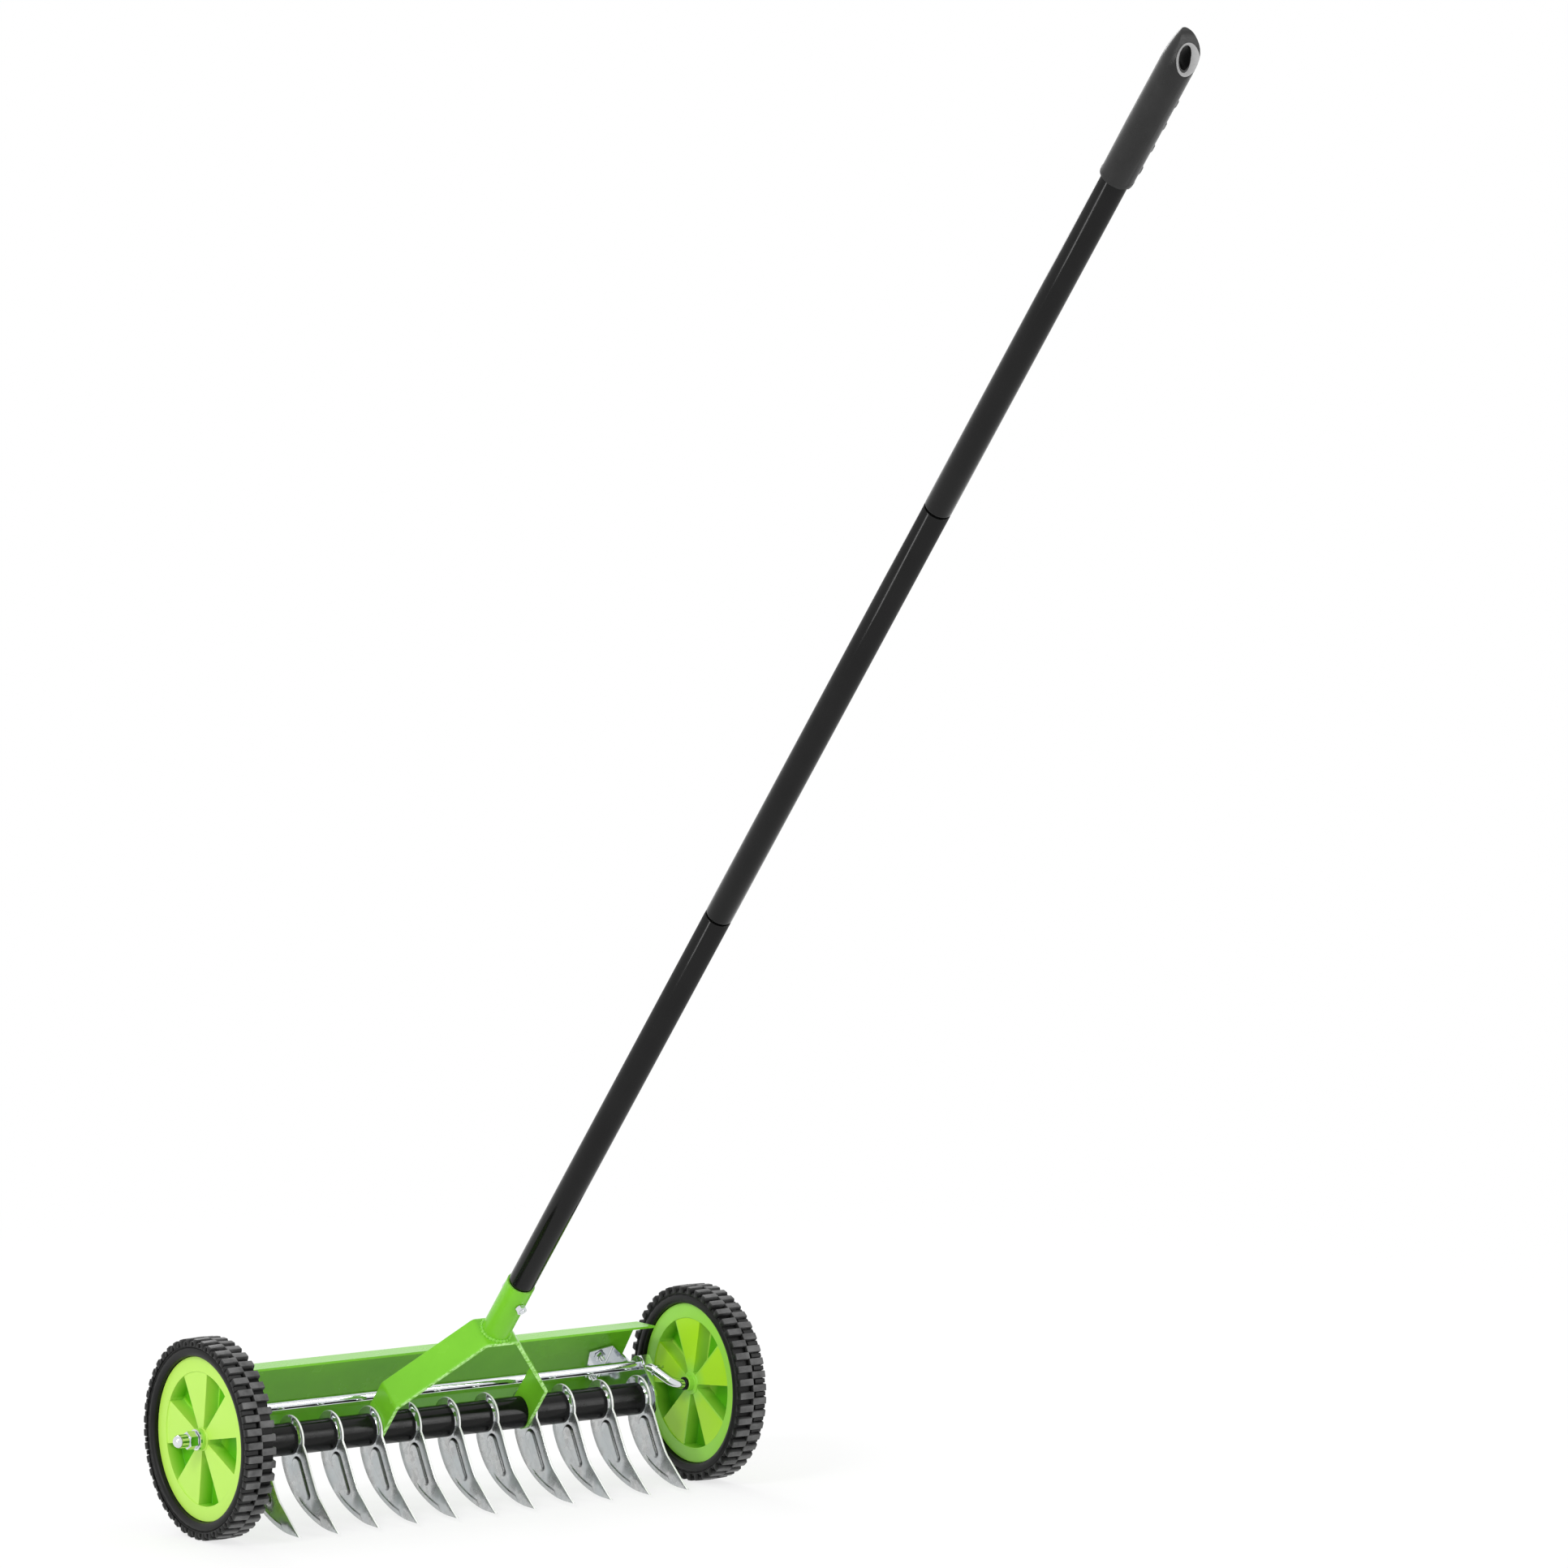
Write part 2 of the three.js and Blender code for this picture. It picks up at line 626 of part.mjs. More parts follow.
// Crank axle: one rod with both ends cranked, on which the wheels run.
function crankAxle() {
  const inward = (x) => new THREE.Vector3(x, rodCentre.x, rodCentre.y);
  const outward = (x) => new THREE.Vector3(x, wheelCentre.x, wheelCentre.y);
  const corners = [
    outward(-axleHalf), outward(-crankSecondBend), inward(-crankFirstBend),
    inward(crankFirstBend), outward(crankSecondBend), outward(axleHalf),
  ];
  return solidOf(sweptRod(bentRodStations(corners, crankBendRadius), rodRadius));
}

// Split pins through the cranked arms, square to the arm and to the crank's plane.
const armStart = new THREE.Vector3(crankFirstBend, rodCentre.x, rodCentre.y);
const armEnd = new THREE.Vector3(crankSecondBend, wheelCentre.x, wheelCentre.y);
const armAlong = armEnd.clone().sub(armStart).normalize();
const pinAxis = turnX.clone().projectOnPlane(armAlong).normalize().negate();
const pinCentre = armStart.clone().lerp(armEnd, pinPlaceShare);
function alongPin(geometry) {
  const turn = new THREE.Quaternion().setFromUnitVectors(new THREE.Vector3(0, 0, 1), pinAxis);
  geometry.applyQuaternion(turn);
  geometry.translate(pinCentre.x, pinCentre.y, pinCentre.z);
  return geometry;
}
const pinHoleHalf = rodRadius + overrun;
const pinHoleRadius = pinRadius + seatGap;
const pinHoleSection = [[-pinHoleHalf, 0], [-pinHoleHalf, pinHoleRadius],
  [pinHoleHalf, pinHoleRadius], [pinHoleHalf, 0]];
const pinHole = solidOf(alongPin(turnedUp(pinHoleSection, pinSides)));
const axle = crankAxle().subtract(pinHole).subtract(mirrored(pinHole));
addPiece(part, 'crank_axle', axle, zincPlate);
const pinTop = rodRadius + seatGap;
const pinSection = [[pinTop - pinLength, 0], [pinTop - pinLength, pinRadius], [pinTop, pinRadius],
  [pinTop, pinHeadRadius], [pinTop + pinHeadHeight, pinHeadRadius], [pinTop + pinHeadHeight, 0]];
addPair(part, 'split_pin', solidOf(alongPin(turnedUp(pinSection, pinSides))), zincPlate);

// Everything on the axle ends is laid out round X and then moved to the wheel's centre.
function onAxle(geometry) {
  geometry.translate(0, wheelCentre.x, wheelCentre.y);
  return solidOf(geometry);
}

function axleWasher(from, radius) {
  return onAxle(ring(from, from + axleWasherThickness, axleWasherBore, radius, ringSides));
}
addPair(part, 'inner_washer', axleWasher(innerWasherStart, innerWasherRadius), zincPlate);
addPair(part, 'outer_washer', axleWasher(outerWasherStart, outerWasherRadius), zincPlate);

function capNut() {
  const hexEnd = capNutStart + capNutHexHeight;
  const barrelEnd = hexEnd + capNutBarrelHeight;
  const hex = onAxle(plateAcross(hexagon(capNutFlats), capNutStart, hexEnd));
  const dome = capNutDomeTurns.map((degrees) => {
    const bulge = directionAt(degrees);
    return [barrelEnd + capNutDomeRadius * bulge.y, capNutDomeRadius * bulge.x];
  });
  const root = capNutStart + capNutHexHeight / 2;
  const section = [[root, 0], [root, capNutDomeRadius], ...dome, [capNutStart + capNutTip, 0]];
  const barrel = onAxle(turned(section, rodSides));
  const boreEnd = capNutStart + capNutBoreDepth;
  const bore = onAxle(rodAlongX(capNutStart - overrun, boreEnd, axleWasherBore, rodSides));
  return joined(hex, barrel).subtract(bore);
}
addPair(part, 'cap_nut', capNut(), zincPlate);

// Wheel rims: a ring, a hub, and a web whose sectors lie by turns at the outer and inner face.
function rimPocket(turn, from, to) {
  const sector = 180 / rimSectors;
  const ringInner = rimRadius - rimRingWidth;
  const lean = (radius) => THREE.MathUtils.radToDeg(Math.asin(rimWeb / 2 / radius));
  const outer = arcOf(new THREE.Vector2(), ringInner, turn - sector / 2 + lean(ringInner),
    turn + sector / 2 - lean(ringInner), bendSteps);
  const inner = arcOf(new THREE.Vector2(), rimPocketHubRadius, turn + sector / 2 - lean(rimPocketHubRadius),
    turn - sector / 2 + lean(rimPocketHubRadius), 1);
  return onAxle(plateAcross([...outer, ...inner], from, to));
}

function wheelRim(rimPhase) {
  const outerFace = wheelMiddle + rimWidth / 2;
  const innerFace = wheelMiddle - rimWidth / 2;
  let rim = onAxle(ring(innerFace, outerFace, hubBore, rimRadius, lugCount));
  const hubInner = wheelMiddle - hubInnerReach;
  const hubOuter = wheelMiddle + hubOuterReach;
  for (let i = 0; i < rimSectors; i += 1) {
    const turn = 180 + rimPhase + i * 360 / rimSectors;
    rim = rim.subtract(rimPocket(turn, innerFace + rimWeb, outerFace + overrun));
    rim = rim.subtract(rimPocket(turn + 180 / rimSectors, innerFace - overrun, outerFace - rimWeb));
  }
  const hub = joined(onAxle(ring(hubInner, wheelMiddle, hubBore, hubInnerRadius, tubeSides)),
    onAxle(ring(innerFace, hubOuter, hubBore, hubRadius, tubeSides)));
  const bore = onAxle(rodAlongX(hubInner - overrun, hubOuter + overrun, hubBore, tubeSides));
  return rim.add(hub).subtract(bore);
}
addPiece(part, 'wheel_rim_left', mirrored(wheelRim(rimPhaseLeft)), limePlastic);
addPiece(part, 'wheel_rim_right', wheelRim(rimPhaseRight), limePlastic);

// Tyres: a carcass with a bulged bead and two staggered rows of lugs.
function lugRow(from, to, turn) {
  const outline = [];
  const step = 360 / lugCount;
  const root = treadRadius - lugRoot;
  for (let i = 0; i < lugCount; i += 1) {
    const start = turn + i * step;
    const end = start + step * lugShare;
    outline.push(directionAt(start).multiplyScalar(root), directionAt(start).multiplyScalar(tyreRadius));
    outline.push(directionAt(end).multiplyScalar(tyreRadius), directionAt(end).multiplyScalar(root));
  }
  const inner = circleOf(new THREE.Vector2(), root - lugRoot, lugCount);
  return onAxle(plateAcross(outline, from, to, [inner]));
}

function tyre() {
  const half = tyreWidth / 2;
  const beadHalf = beadWidth / 2;
  const outline = [[-beadHalf, tyreBore], [beadHalf, tyreBore], [half, tyreBore + beadHeight],
    [half, treadRadius], [-half, treadRadius], [-half, tyreBore + beadHeight], [-beadHalf, tyreBore]];
  const section = outline.map(([along, radius]) => [wheelMiddle + along, radius]);
  const carcass = onAxle(turned(section, lugCount));
  const halfStep = 180 / lugCount;
  const outerRow = lugRow(wheelMiddle, wheelMiddle + half, 0);
  const innerRow = lugRow(wheelMiddle - half, wheelMiddle, halfStep);
  return joined(carcass, outerRow, innerRow);
}
addPair(part, 'tyre', tyre(), tyreRubber);

// Yoke: a bent strip in the plane of the handle, whose ears hold the tine shaft.
function yoke() {
  const earInner = yokeTineCount * tinePitch - tineHalf - seatGap - yokeThickness;
  const line = [
    new THREE.Vector2(-earInner, 0),
    new THREE.Vector2(-earInner, yokeEarHeight),
    new THREE.Vector2(-yokeTopHalf, yokeTopHeight - yokeThickness),
    new THREE.Vector2(yokeTopHalf, yokeTopHeight - yokeThickness),
    new THREE.Vector2(earInner, yokeEarHeight),
    new THREE.Vector2(earInner, 0),
  ];
  const shape = new THREE.Shape(bentSheet(line, yokeThickness, yokeBendRadius));
  const strip = new THREE.ExtrudeGeometry(shape, { depth: yokeWidth, bevelEnabled: false });
  strip.rotateX(Math.PI / 2);
  strip.translate(0, yokeWidth / 2, 0);
  const earRound = circleOf(new THREE.Vector2(), yokeWidth / 2, rodSides);
  const rounded = solidOf(plateAcross(earRound, earInner, earInner + yokeThickness));
  const whole = joined(solidOf(strip), rounded, mirrored(rounded));
  const bore = solidOf(rodAlongX(-lastTine, lastTine, shaftBore, rodSides));
  const weldRoot = yokeTopHeight - yokeThickness / 2;
  const weldInner = socketRadius + seatGap;
  const weldSection = [[weldRoot, weldInner], [weldRoot, socketRadius + weldWidth],
    [yokeTopHeight, socketRadius + weldWidth], [yokeTopHeight + weldHeight, weldInner + seatGap],
    [yokeTopHeight + weldHeight, weldInner], [weldRoot, weldInner]];
  const weld = solidOf(turnedUp(weldSection, tubeSides));
  return whole.subtract(bore).add(weld);
}
addPiece(handleGroup, 'yoke', yoke(), hoodPaint);

// Handle socket, with the screw that keeps the lower tube in it
function tubeSection(from, to, radius, wall) {
  return turnedUp([[from, radius - wall], [to, radius - wall], [to, radius], [from, radius],
    [from, radius - wall]], tubeSides);
}
const screwAlong = socketEnd - socketScrewBelowEnd;
const socketHoleRadius = socketScrewRadius + seatGap;
function acrossHandle(section, facets) {
  const geometry = turnedUp(section, facets);
  geometry.rotateX(-Math.PI / 2);
  geometry.translate(0, 0, screwAlong);
  return solidOf(geometry);
}
const socketHole = acrossHandle([[-socketRadius - overrun, 0], [-socketRadius - overrun, socketHoleRadius],
  [socketRadius + overrun, socketHoleRadius], [socketRadius + overrun, 0]], rodSides);
const socket = solidOf(tubeSection(socketStart, socketEnd, socketRadius, socketWall));
addPiece(handleGroup, 'handle_socket', socket.subtract(socketHole), hoodPaint);
const socketScrewHead = socketRadius + seatGap;
const socketScrewTip = -socketRadius - seatGap - hoodNutHeight - screwProud;
const socketScrewSection = [[socketScrewTip, 0], [socketScrewTip, socketScrewRadius],
  [socketScrewHead, socketScrewRadius],
  ...panHead(socketScrewHead, socketScrewHeadRadius, socketScrewHeadHeight)];
addPiece(handleGroup, 'socket_screw', acrossHandle(socketScrewSection, rodSides), zincPlate);
const socketNutShape = new THREE.Shape(hexagon(hoodNutFlats));
socketNutShape.holes = [new THREE.Path(circleOf(new THREE.Vector2(), socketHoleRadius, rodSides))];
const socketNut = new THREE.ExtrudeGeometry(socketNutShape, { depth: hoodNutHeight, bevelEnabled: false });
socketNut.translate(0, 0, -socketRadius - seatGap - hoodNutHeight);
socketNut.rotateX(-Math.PI / 2);
socketNut.translate(0, 0, screwAlong);
addPiece(handleGroup, 'socket_nut', solidOf(socketNut), zincPlate);

// Handle tubes: each has a reduced spigot below, which sits in the piece under it.
function handleTube(from, to, spigot, wall) {
  const spigotFrom = from - spigotLength;
  const inner = spigot - wall;
  return solidOf(turnedUp([
    [spigotFrom, inner], [from, inner], [from + spigotNeck, tubeRadius - wall], [to, tubeRadius - wall],
    [to, tubeRadius], [from + spigotNeck, tubeRadius], [from + seatGap, spigot], [spigotFrom, spigot],
    [spigotFrom, inner],
  ], tubeSides));
}
const lowerTube = handleTube(socketEnd, tubeLowerEnd, spigotRadius, tubeWall).subtract(socketHole);
addPiece(handleGroup, 'handle_tube_lower', lowerTube, blackPaint);
addPiece(handleGroup, 'handle_tube_middle',
  handleTube(tubeLowerEnd, tubeMiddleEnd, tubeSpigotRadius, tubeWall), blackPaint);
const upperTubeEnd = gripStart + gripSocketDepth - seatGap;
addPiece(handleGroup, 'handle_tube_upper',
  handleTube(tubeMiddleEnd, upperTubeEnd, tubeSpigotRadius, tubeWall), blackPaint);

// Grip: a closed plastic sleeve with finger ribs below, and an end with a sloped face and an eye.
function grip() {
  const tipStart = gripEnd - gripTipLength;
  const barrel = solidOf(turnedUp([[gripStart, 0], [gripStart, gripMouthRadius],
    [gripStart + gripMouthHeight, gripMouthRadius], [gripStart + gripMouthHeight, gripRadius],
    [gripEnd, gripRadius], [gripEnd, 0]], tubeSides));
  const place = ([across, along]) => new THREE.Vector2(across * gripRadius, tipStart + along * gripTipLength);
  const depth = 4 * gripRadius;
  const below = new THREE.Vector2(gripRadius + overrun, gripStart - overrun);
  const side = new THREE.Shape([new THREE.Vector2(-below.x, below.y), new THREE.Vector2(-below.x, tipStart),
    ...gripFacetShares.map(place), ...gripBackShares.map(place),
    new THREE.Vector2(below.x, tipStart), below]);
  const sideSlab = new THREE.ExtrudeGeometry(side, { depth, bevelEnabled: false });
  sideSlab.translate(0, 0, -depth / 2);
  sideSlab.applyMatrix4(new THREE.Matrix4().set(0, 0, 1, 0, 1, 0, 0, 0, 0, 1, 0, 0, 0, 0, 0, 1));
  const flank = gripFlankShares.map(place);
  const flankStart = new THREE.Vector2(below.x, flank[0].y);
  const rightSide = [below, flankStart, ...flank];
  const leftSide = rightSide.map((point) => new THREE.Vector2(-point.x, point.y)).reverse();
  const frontSlab = new THREE.ExtrudeGeometry(new THREE.Shape([...rightSide, ...leftSide]),
    { depth, bevelEnabled: false });
  frontSlab.rotateX(Math.PI / 2);
  frontSlab.translate(0, depth / 2, 0);
  const eye = new THREE.Shape();
  eye.absellipse(0, gripEnd - gripEyeBelowEnd, gripEyeWidth / 2, gripEyeLength / 2, 0, 2 * Math.PI);
  const eyeSlab = new THREE.ExtrudeGeometry(new THREE.Shape(eye.getPoints(eyeSteps)),
    { depth, bevelEnabled: false });
  eyeSlab.rotateX(Math.PI / 2);
  eyeSlab.translate(0, depth / 2, 0);
  const boreEnd = gripStart + gripSocketDepth;
  const bore = solidOf(turnedUp([[gripStart - overrun, 0], [gripStart - overrun, tubeRadius + seatGap],
    [boreEnd, tubeRadius + seatGap], [boreEnd, 0]], tubeSides));
  let whole = barrel.intersect(solidOf(sideSlab)).intersect(solidOf(frontSlab)).subtract(solidOf(eyeSlab));
  for (let i = 0; i < gripRibCount; i += 1) {
    const middle = gripStart + gripRibFirst + i * gripRibPitch;
    const band = solidOf(turnedUp([[middle - gripRibWidth / 2, 0], [middle - gripRibWidth / 2, gripRadius],
      [middle - gripRibWidth / 4, gripRadius + gripRibHeight],
      [middle + gripRibWidth / 4, gripRadius + gripRibHeight],
      [middle + gripRibWidth / 2, gripRadius], [middle + gripRibWidth / 2, 0]], tubeSides));
    const keep = new THREE.BoxGeometry(gripRibBand, 2 * gripRadius, 2 * gripRibWidth);
    keep.translate(0, -gripRadius, middle);
    whole = whole.add(band.intersect(solidOf(keep)));
  }
  return whole.subtract(bore);
}
addPiece(handleGroup, 'grip', grip(), gripPlastic);

// The origin goes to the ground, below the middle of the machine.
part.updateMatrixWorld(true);
const bounds = new THREE.Box3().setFromObject(part, true);
const middle = bounds.getCenter(new THREE.Vector3());
part.position.set(0, -middle.y, -bounds.min.z);

export default part;
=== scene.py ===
# %% [markdown]
# # A wheeled lawn scarifier
# The machine is a row of stamped steel tines on a shaft, under a bent sheet hood, with two
# wheels on a cranked axle and a long tube handle. The imported solids give every place and
# size. Here each piece gets the mesh and the finish that it has in the real object.

# %% Load the solids
import json
import math
import bmesh
import bpy
from mathutils import Matrix, Vector
from mathutils.geometry import delaunay_2d_cdt, tessellate_polygon


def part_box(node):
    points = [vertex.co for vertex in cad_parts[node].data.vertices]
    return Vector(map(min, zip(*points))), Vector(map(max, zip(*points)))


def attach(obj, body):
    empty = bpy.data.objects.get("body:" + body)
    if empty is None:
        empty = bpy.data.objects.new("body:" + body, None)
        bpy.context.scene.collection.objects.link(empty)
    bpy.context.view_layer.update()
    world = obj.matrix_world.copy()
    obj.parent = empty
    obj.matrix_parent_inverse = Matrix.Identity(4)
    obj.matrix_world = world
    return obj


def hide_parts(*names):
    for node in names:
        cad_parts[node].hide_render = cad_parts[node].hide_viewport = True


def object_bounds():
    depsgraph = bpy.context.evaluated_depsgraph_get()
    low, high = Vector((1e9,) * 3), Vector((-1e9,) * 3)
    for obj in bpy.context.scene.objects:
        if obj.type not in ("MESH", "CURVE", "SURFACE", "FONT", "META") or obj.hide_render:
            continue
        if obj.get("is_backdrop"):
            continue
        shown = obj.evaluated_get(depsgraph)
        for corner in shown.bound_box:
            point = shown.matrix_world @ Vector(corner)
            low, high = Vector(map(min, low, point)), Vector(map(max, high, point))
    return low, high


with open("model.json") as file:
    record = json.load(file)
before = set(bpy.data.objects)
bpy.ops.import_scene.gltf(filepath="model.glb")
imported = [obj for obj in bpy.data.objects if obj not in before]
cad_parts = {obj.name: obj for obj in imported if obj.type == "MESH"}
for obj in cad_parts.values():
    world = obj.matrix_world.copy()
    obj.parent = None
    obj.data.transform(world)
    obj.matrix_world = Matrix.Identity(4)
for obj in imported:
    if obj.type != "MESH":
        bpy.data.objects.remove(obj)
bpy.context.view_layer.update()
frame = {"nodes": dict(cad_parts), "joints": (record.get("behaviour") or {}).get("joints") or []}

# %% [markdown]
# ## Where things are
# All shapes below are drawn in millimetres round a handy centre: the tine shaft, the wheel's
# own axle end or the foot of the handle. A matrix then moves them to their place, and the
# last step scales them to metres. The centres come from the solids and their joints, so
# nothing has to be fitted by eye.

# %% Centres and directions from the frame
MM = 0.001
PARTS_IN_MM = Matrix.Scale(MM, 4)
STAY = Matrix.Identity(4)
MIRROR = Matrix.Diagonal((-1, 1, 1, 1))
TO_Z = Matrix.Rotation(-math.pi / 2, 4, "Y")
SWAP_X_Y = Matrix(((0, 1, 0, 0), (1, 0, 0, 0), (0, 0, 1, 0), (0, 0, 0, 1)))
SIDES = ("left", "right")
WHOLE_TURN = 2 * math.pi
CLEARANCE, LOOSE_FIT = 0.1, 0.3
OVERRUN = 1
SMALL_ROUND = 0.45


def box_mm(node):
    """Lowest corner, highest corner and middle of a solid, in millimetres."""
    low, high = (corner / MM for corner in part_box(node))
    return low, high, (low + high) / 2


def nodes_named(start):
    return sorted(name for name in frame["nodes"] if name.startswith(start))


joints = {joint["name"]: Vector(joint["pos_m"]) / MM for joint in frame["joints"]}
shaft_low, shaft_high, SHAFT = box_mm("tine_shaft")
ROD = joints["crank_swing"] - SHAFT
WHEEL = joints["wheel_right_spin"] - SHAFT
WHEEL_MIDDLE = WHEEL.x
HANDLE_ANGLE = math.radians(49.1)

AT_SHAFT = Matrix.Translation(SHAFT)
AT_WHEEL = AT_SHAFT @ Matrix.Translation((0, WHEEL.y, WHEEL.z))
ON_HANDLE = AT_SHAFT @ Matrix.Rotation(math.pi / 2 - HANDLE_ANGLE, 4, "X")
print("wheel axis from the shaft:", [round(v, 2) for v in WHEEL])

# %% [markdown]
# ## Shapes by rule
# Most pieces of a machine like this come off a lathe, a press or a bending brake. So three
# helpers do most of the work: one turns a profile round an axis, one thickens an outline,
# and one finds the outline of a sheet that has been bent. Sharp edges catch no light, so
# each piece also gets the small rounding that its real edge has.

# %% Outlines
def direction(degrees):
    """A unit step in the plane at this angle."""
    return Vector((math.cos(math.radians(degrees)), math.sin(math.radians(degrees))))


def arc(centre, radius, start, end, steps):
    """Points along an arc, both ends included. Angles are in degrees."""
    centre = Vector(centre)
    turns = (start + (end - start) * i / steps for i in range(steps + 1))
    return [centre + direction(turn) * radius for turn in turns]


def circle(radius, sides, centre=(0, 0)):
    return arc(centre, radius, 0, 360 * (sides - 1) / sides, sides - 1)


def smooth_through(points, steps):
    """A smooth line through the points, with this many steps from each to the next."""
    points = [Vector(point) for point in points]
    padded = [2 * points[0] - points[1], *points, 2 * points[-1] - points[-2]]
    line = []
    for before, start, end, after in zip(padded, padded[1:], padded[2:], padded[3:]):
        for i in range(steps):
            t = i / steps
            line.append(0.5 * (2 * start + (end - before) * t
                               + (2 * before - 5 * start + 4 * end - after) * t ** 2
                               + (3 * start - before - 3 * end + after) * t ** 3))
    return line + [points[-1]]


def smooth_step(value):
    value = min(max(value, 0), 1)
    return value * value * (3 - 2 * value)


def headings(points):
    """The direction of an open line at each of its points."""
    ends = [points[0], *points, points[-1]]
    return [(after - before).normalized() for before, after in zip(ends, ends[2:])]


def left_of(along):
    return Vector((-along.y, along.x))


def loop_normals(loop):
    """The direction to the left of a closed run of points, at each point."""
    return [left_of((loop[(i + 1) % len(loop)] - loop[i - 1]).normalized())
            for i in range(len(loop))]


def shifted(points, normals, distance):
    return [p + n * distance for p, n in zip(points, normals)]


def bent_line(corners, radius, steps=8):
    """A line through corners with each bend rounded: a list of points and left normals."""
    corners = [Vector(corner) for corner in corners]
    points = [corners[0]]
    for before, corner, after in zip(corners, corners[1:], corners[2:]):
        into, out = (corner - before).normalized(), (after - corner).normalized()
        half = into.angle(out) / 2
        turn = math.copysign(1, into.x * out.y - into.y * out.x)
        centre = corner + (out - into).normalized() * (radius / math.cos(half))
        spoke = corner - into * (radius * math.tan(half)) - centre
        for i in range(steps + 1):
            points.append(centre + Matrix.Rotation(turn * 2 * half * i / steps, 2) @ spoke)
    points.append(corners[-1])
    return points, [left_of(along) for along in headings(points)]


# %% Solids from outlines
def bridged(bm, rings):
    """Joins each closed ring of corners to the next with four-sided faces."""
    for first, second in zip(rings, rings[1:]):
        for i in range(len(first)):
            bm.faces.new((first[i - 1], first[i], second[i], second[i - 1]))


def turned(profile, sides, axis="X"):
    """A closed body turned round an axis, from a list of (along, radius)."""
    bm = bmesh.new()
    closed = profile[0] == profile[-1]
    turns = [WHOLE_TURN * i / sides for i in range(sides)]
    rings = [[bm.verts.new((along, radius * math.cos(a), radius * math.sin(a)))
              for a in (turns if radius else [0])]
             for along, radius in (profile[:-1] if closed else profile)]
    for first, second in zip(rings, rings[1:] + (rings[:1] if closed else [])):
        for i in range(sides):
            j = (i + 1) % sides
            corners = first if len(first) == 1 else [first[i], first[j]]
            corners = corners + (second if len(second) == 1 else [second[j], second[i]])
            if len(corners) > 2:
                bm.faces.new(corners)
    if axis == "Z":
        bm.transform(TO_Z)
    return bm


def slab(outline, start, end, holes=()):
    """A closed plate: an outline in the Y-Z plane, thickened along X, with holes through."""
    bm = bmesh.new()
    loops = (outline, *holes)
    near, far = ([[bm.verts.new((x, *point)) for point in loop] for loop in loops]
                 for x in (start, end))
    near_flat, far_flat = sum(near, []), sum(far, [])
    for a, b, c in tessellate_polygon([[Vector((*p, 0)) for p in loop] for loop in loops]):
        bm.faces.new((near_flat[a], near_flat[b], near_flat[c]))
        bm.faces.new((far_flat[c], far_flat[b], far_flat[a]))
    for pair in zip(near, far):
        bridged(bm, pair)
    bmesh.ops.recalc_face_normals(bm, faces=bm.faces)
    return bm


def lofted(sections):
    """A closed body through sections that all have the same number of points."""
    bm = bmesh.new()
    rings = [[bm.verts.new(point) for point in section] for section in sections]
    bridged(bm, rings)
    bm.faces.new(rings[0])
    bm.faces.new(rings[-1])
    bmesh.ops.recalc_face_normals(bm, faces=bm.faces)
    return bm


def round_edges(bm, width, above=30, segments=2):
    """Rounds every edge whose faces turn by more than this many degrees."""
    sharp = [edge for edge in bm.edges
             if len(edge.link_faces) == 2 and edge.calc_face_angle() > math.radians(above)]
    bmesh.ops.bevel(bm, geom=sharp, offset=width, segments=segments, profile=0.5,
                    affect="EDGES", clamp_overlap=True)
    return bm


def moved(bm, matrix):
    bm.transform(matrix)
    return bm


def linked(name, data):
    """A new object in the scene."""
    obj = bpy.data.objects.new(name, data)
    bpy.context.scene.collection.objects.link(obj)
    return obj


def merged(*bodies):
    """Several meshes as one."""
    whole = bodies[0]
    for body in bodies[1:]:
        mesh = bpy.data.meshes.new("part")
        body.to_mesh(mesh)
        whole.from_mesh(mesh)
        bpy.data.meshes.remove(mesh)
        body.free()
    return whole


def carved(body, tool, operation="DIFFERENCE"):
    """One closed body cut by another, or what they share."""
    objects = []
    for bm in (body, tool):
        mesh = bpy.data.meshes.new("carving")
        bm.to_mesh(mesh)
        bm.free()
        objects.append(linked("carving", mesh))
    cut = objects[0].modifiers.new("cut", "BOOLEAN")
    cut.operation, cut.object, cut.solver = operation, objects[1], "EXACT"
    result = bmesh.new()
    result.from_object(objects[0], bpy.context.evaluated_depsgraph_get())
    for obj in objects:
        bpy.data.meshes.remove(obj.data)
    return result


# %% [markdown]
# ## From a shape to a piece
# A piece needs its place in its mesh, outward faces, soft shading that still keeps flat
# faces flat, a finish, and the body that it moves with. One helper does all that, so no
# piece can miss a step. A mark is a number that each vertex carries, which a finish reads.

# %% Finish a piece
def new_marks(bm, *names):
    """New marks on the vertices. They are all made before the first vertex is kept."""
    for name in names:
        bm.verts.layers.float.new(name)
    return [bm.verts.layers.float[name] for name in names]


def shaded(mesh, sharp_above):
    mesh.shade_smooth()
    mesh.set_sharp_from_angle(angle=math.radians(sharp_above))


def piece_object(name, bm, place=STAY, sharp_above=40):
    """A mesh object with its place in its mesh, in metres, and even shading."""
    bm.transform(PARTS_IN_MM @ place)
    bmesh.ops.recalc_face_normals(bm, faces=bm.faces)
    mesh = bpy.data.meshes.new(name)
    bm.to_mesh(mesh)
    bm.free()
    shaded(mesh, sharp_above)
    return linked(name, mesh)


def settle(obj, body, slot, *nodes):
    """Gives a finished object its finish, its body and the solids that it stands for."""
    obj.data.materials.clear()
    obj.data.materials.append(finishes[slot])
    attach(obj, body)
    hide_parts(*nodes)
    print(f"{obj.name}: {len(obj.data.polygons)} faces")


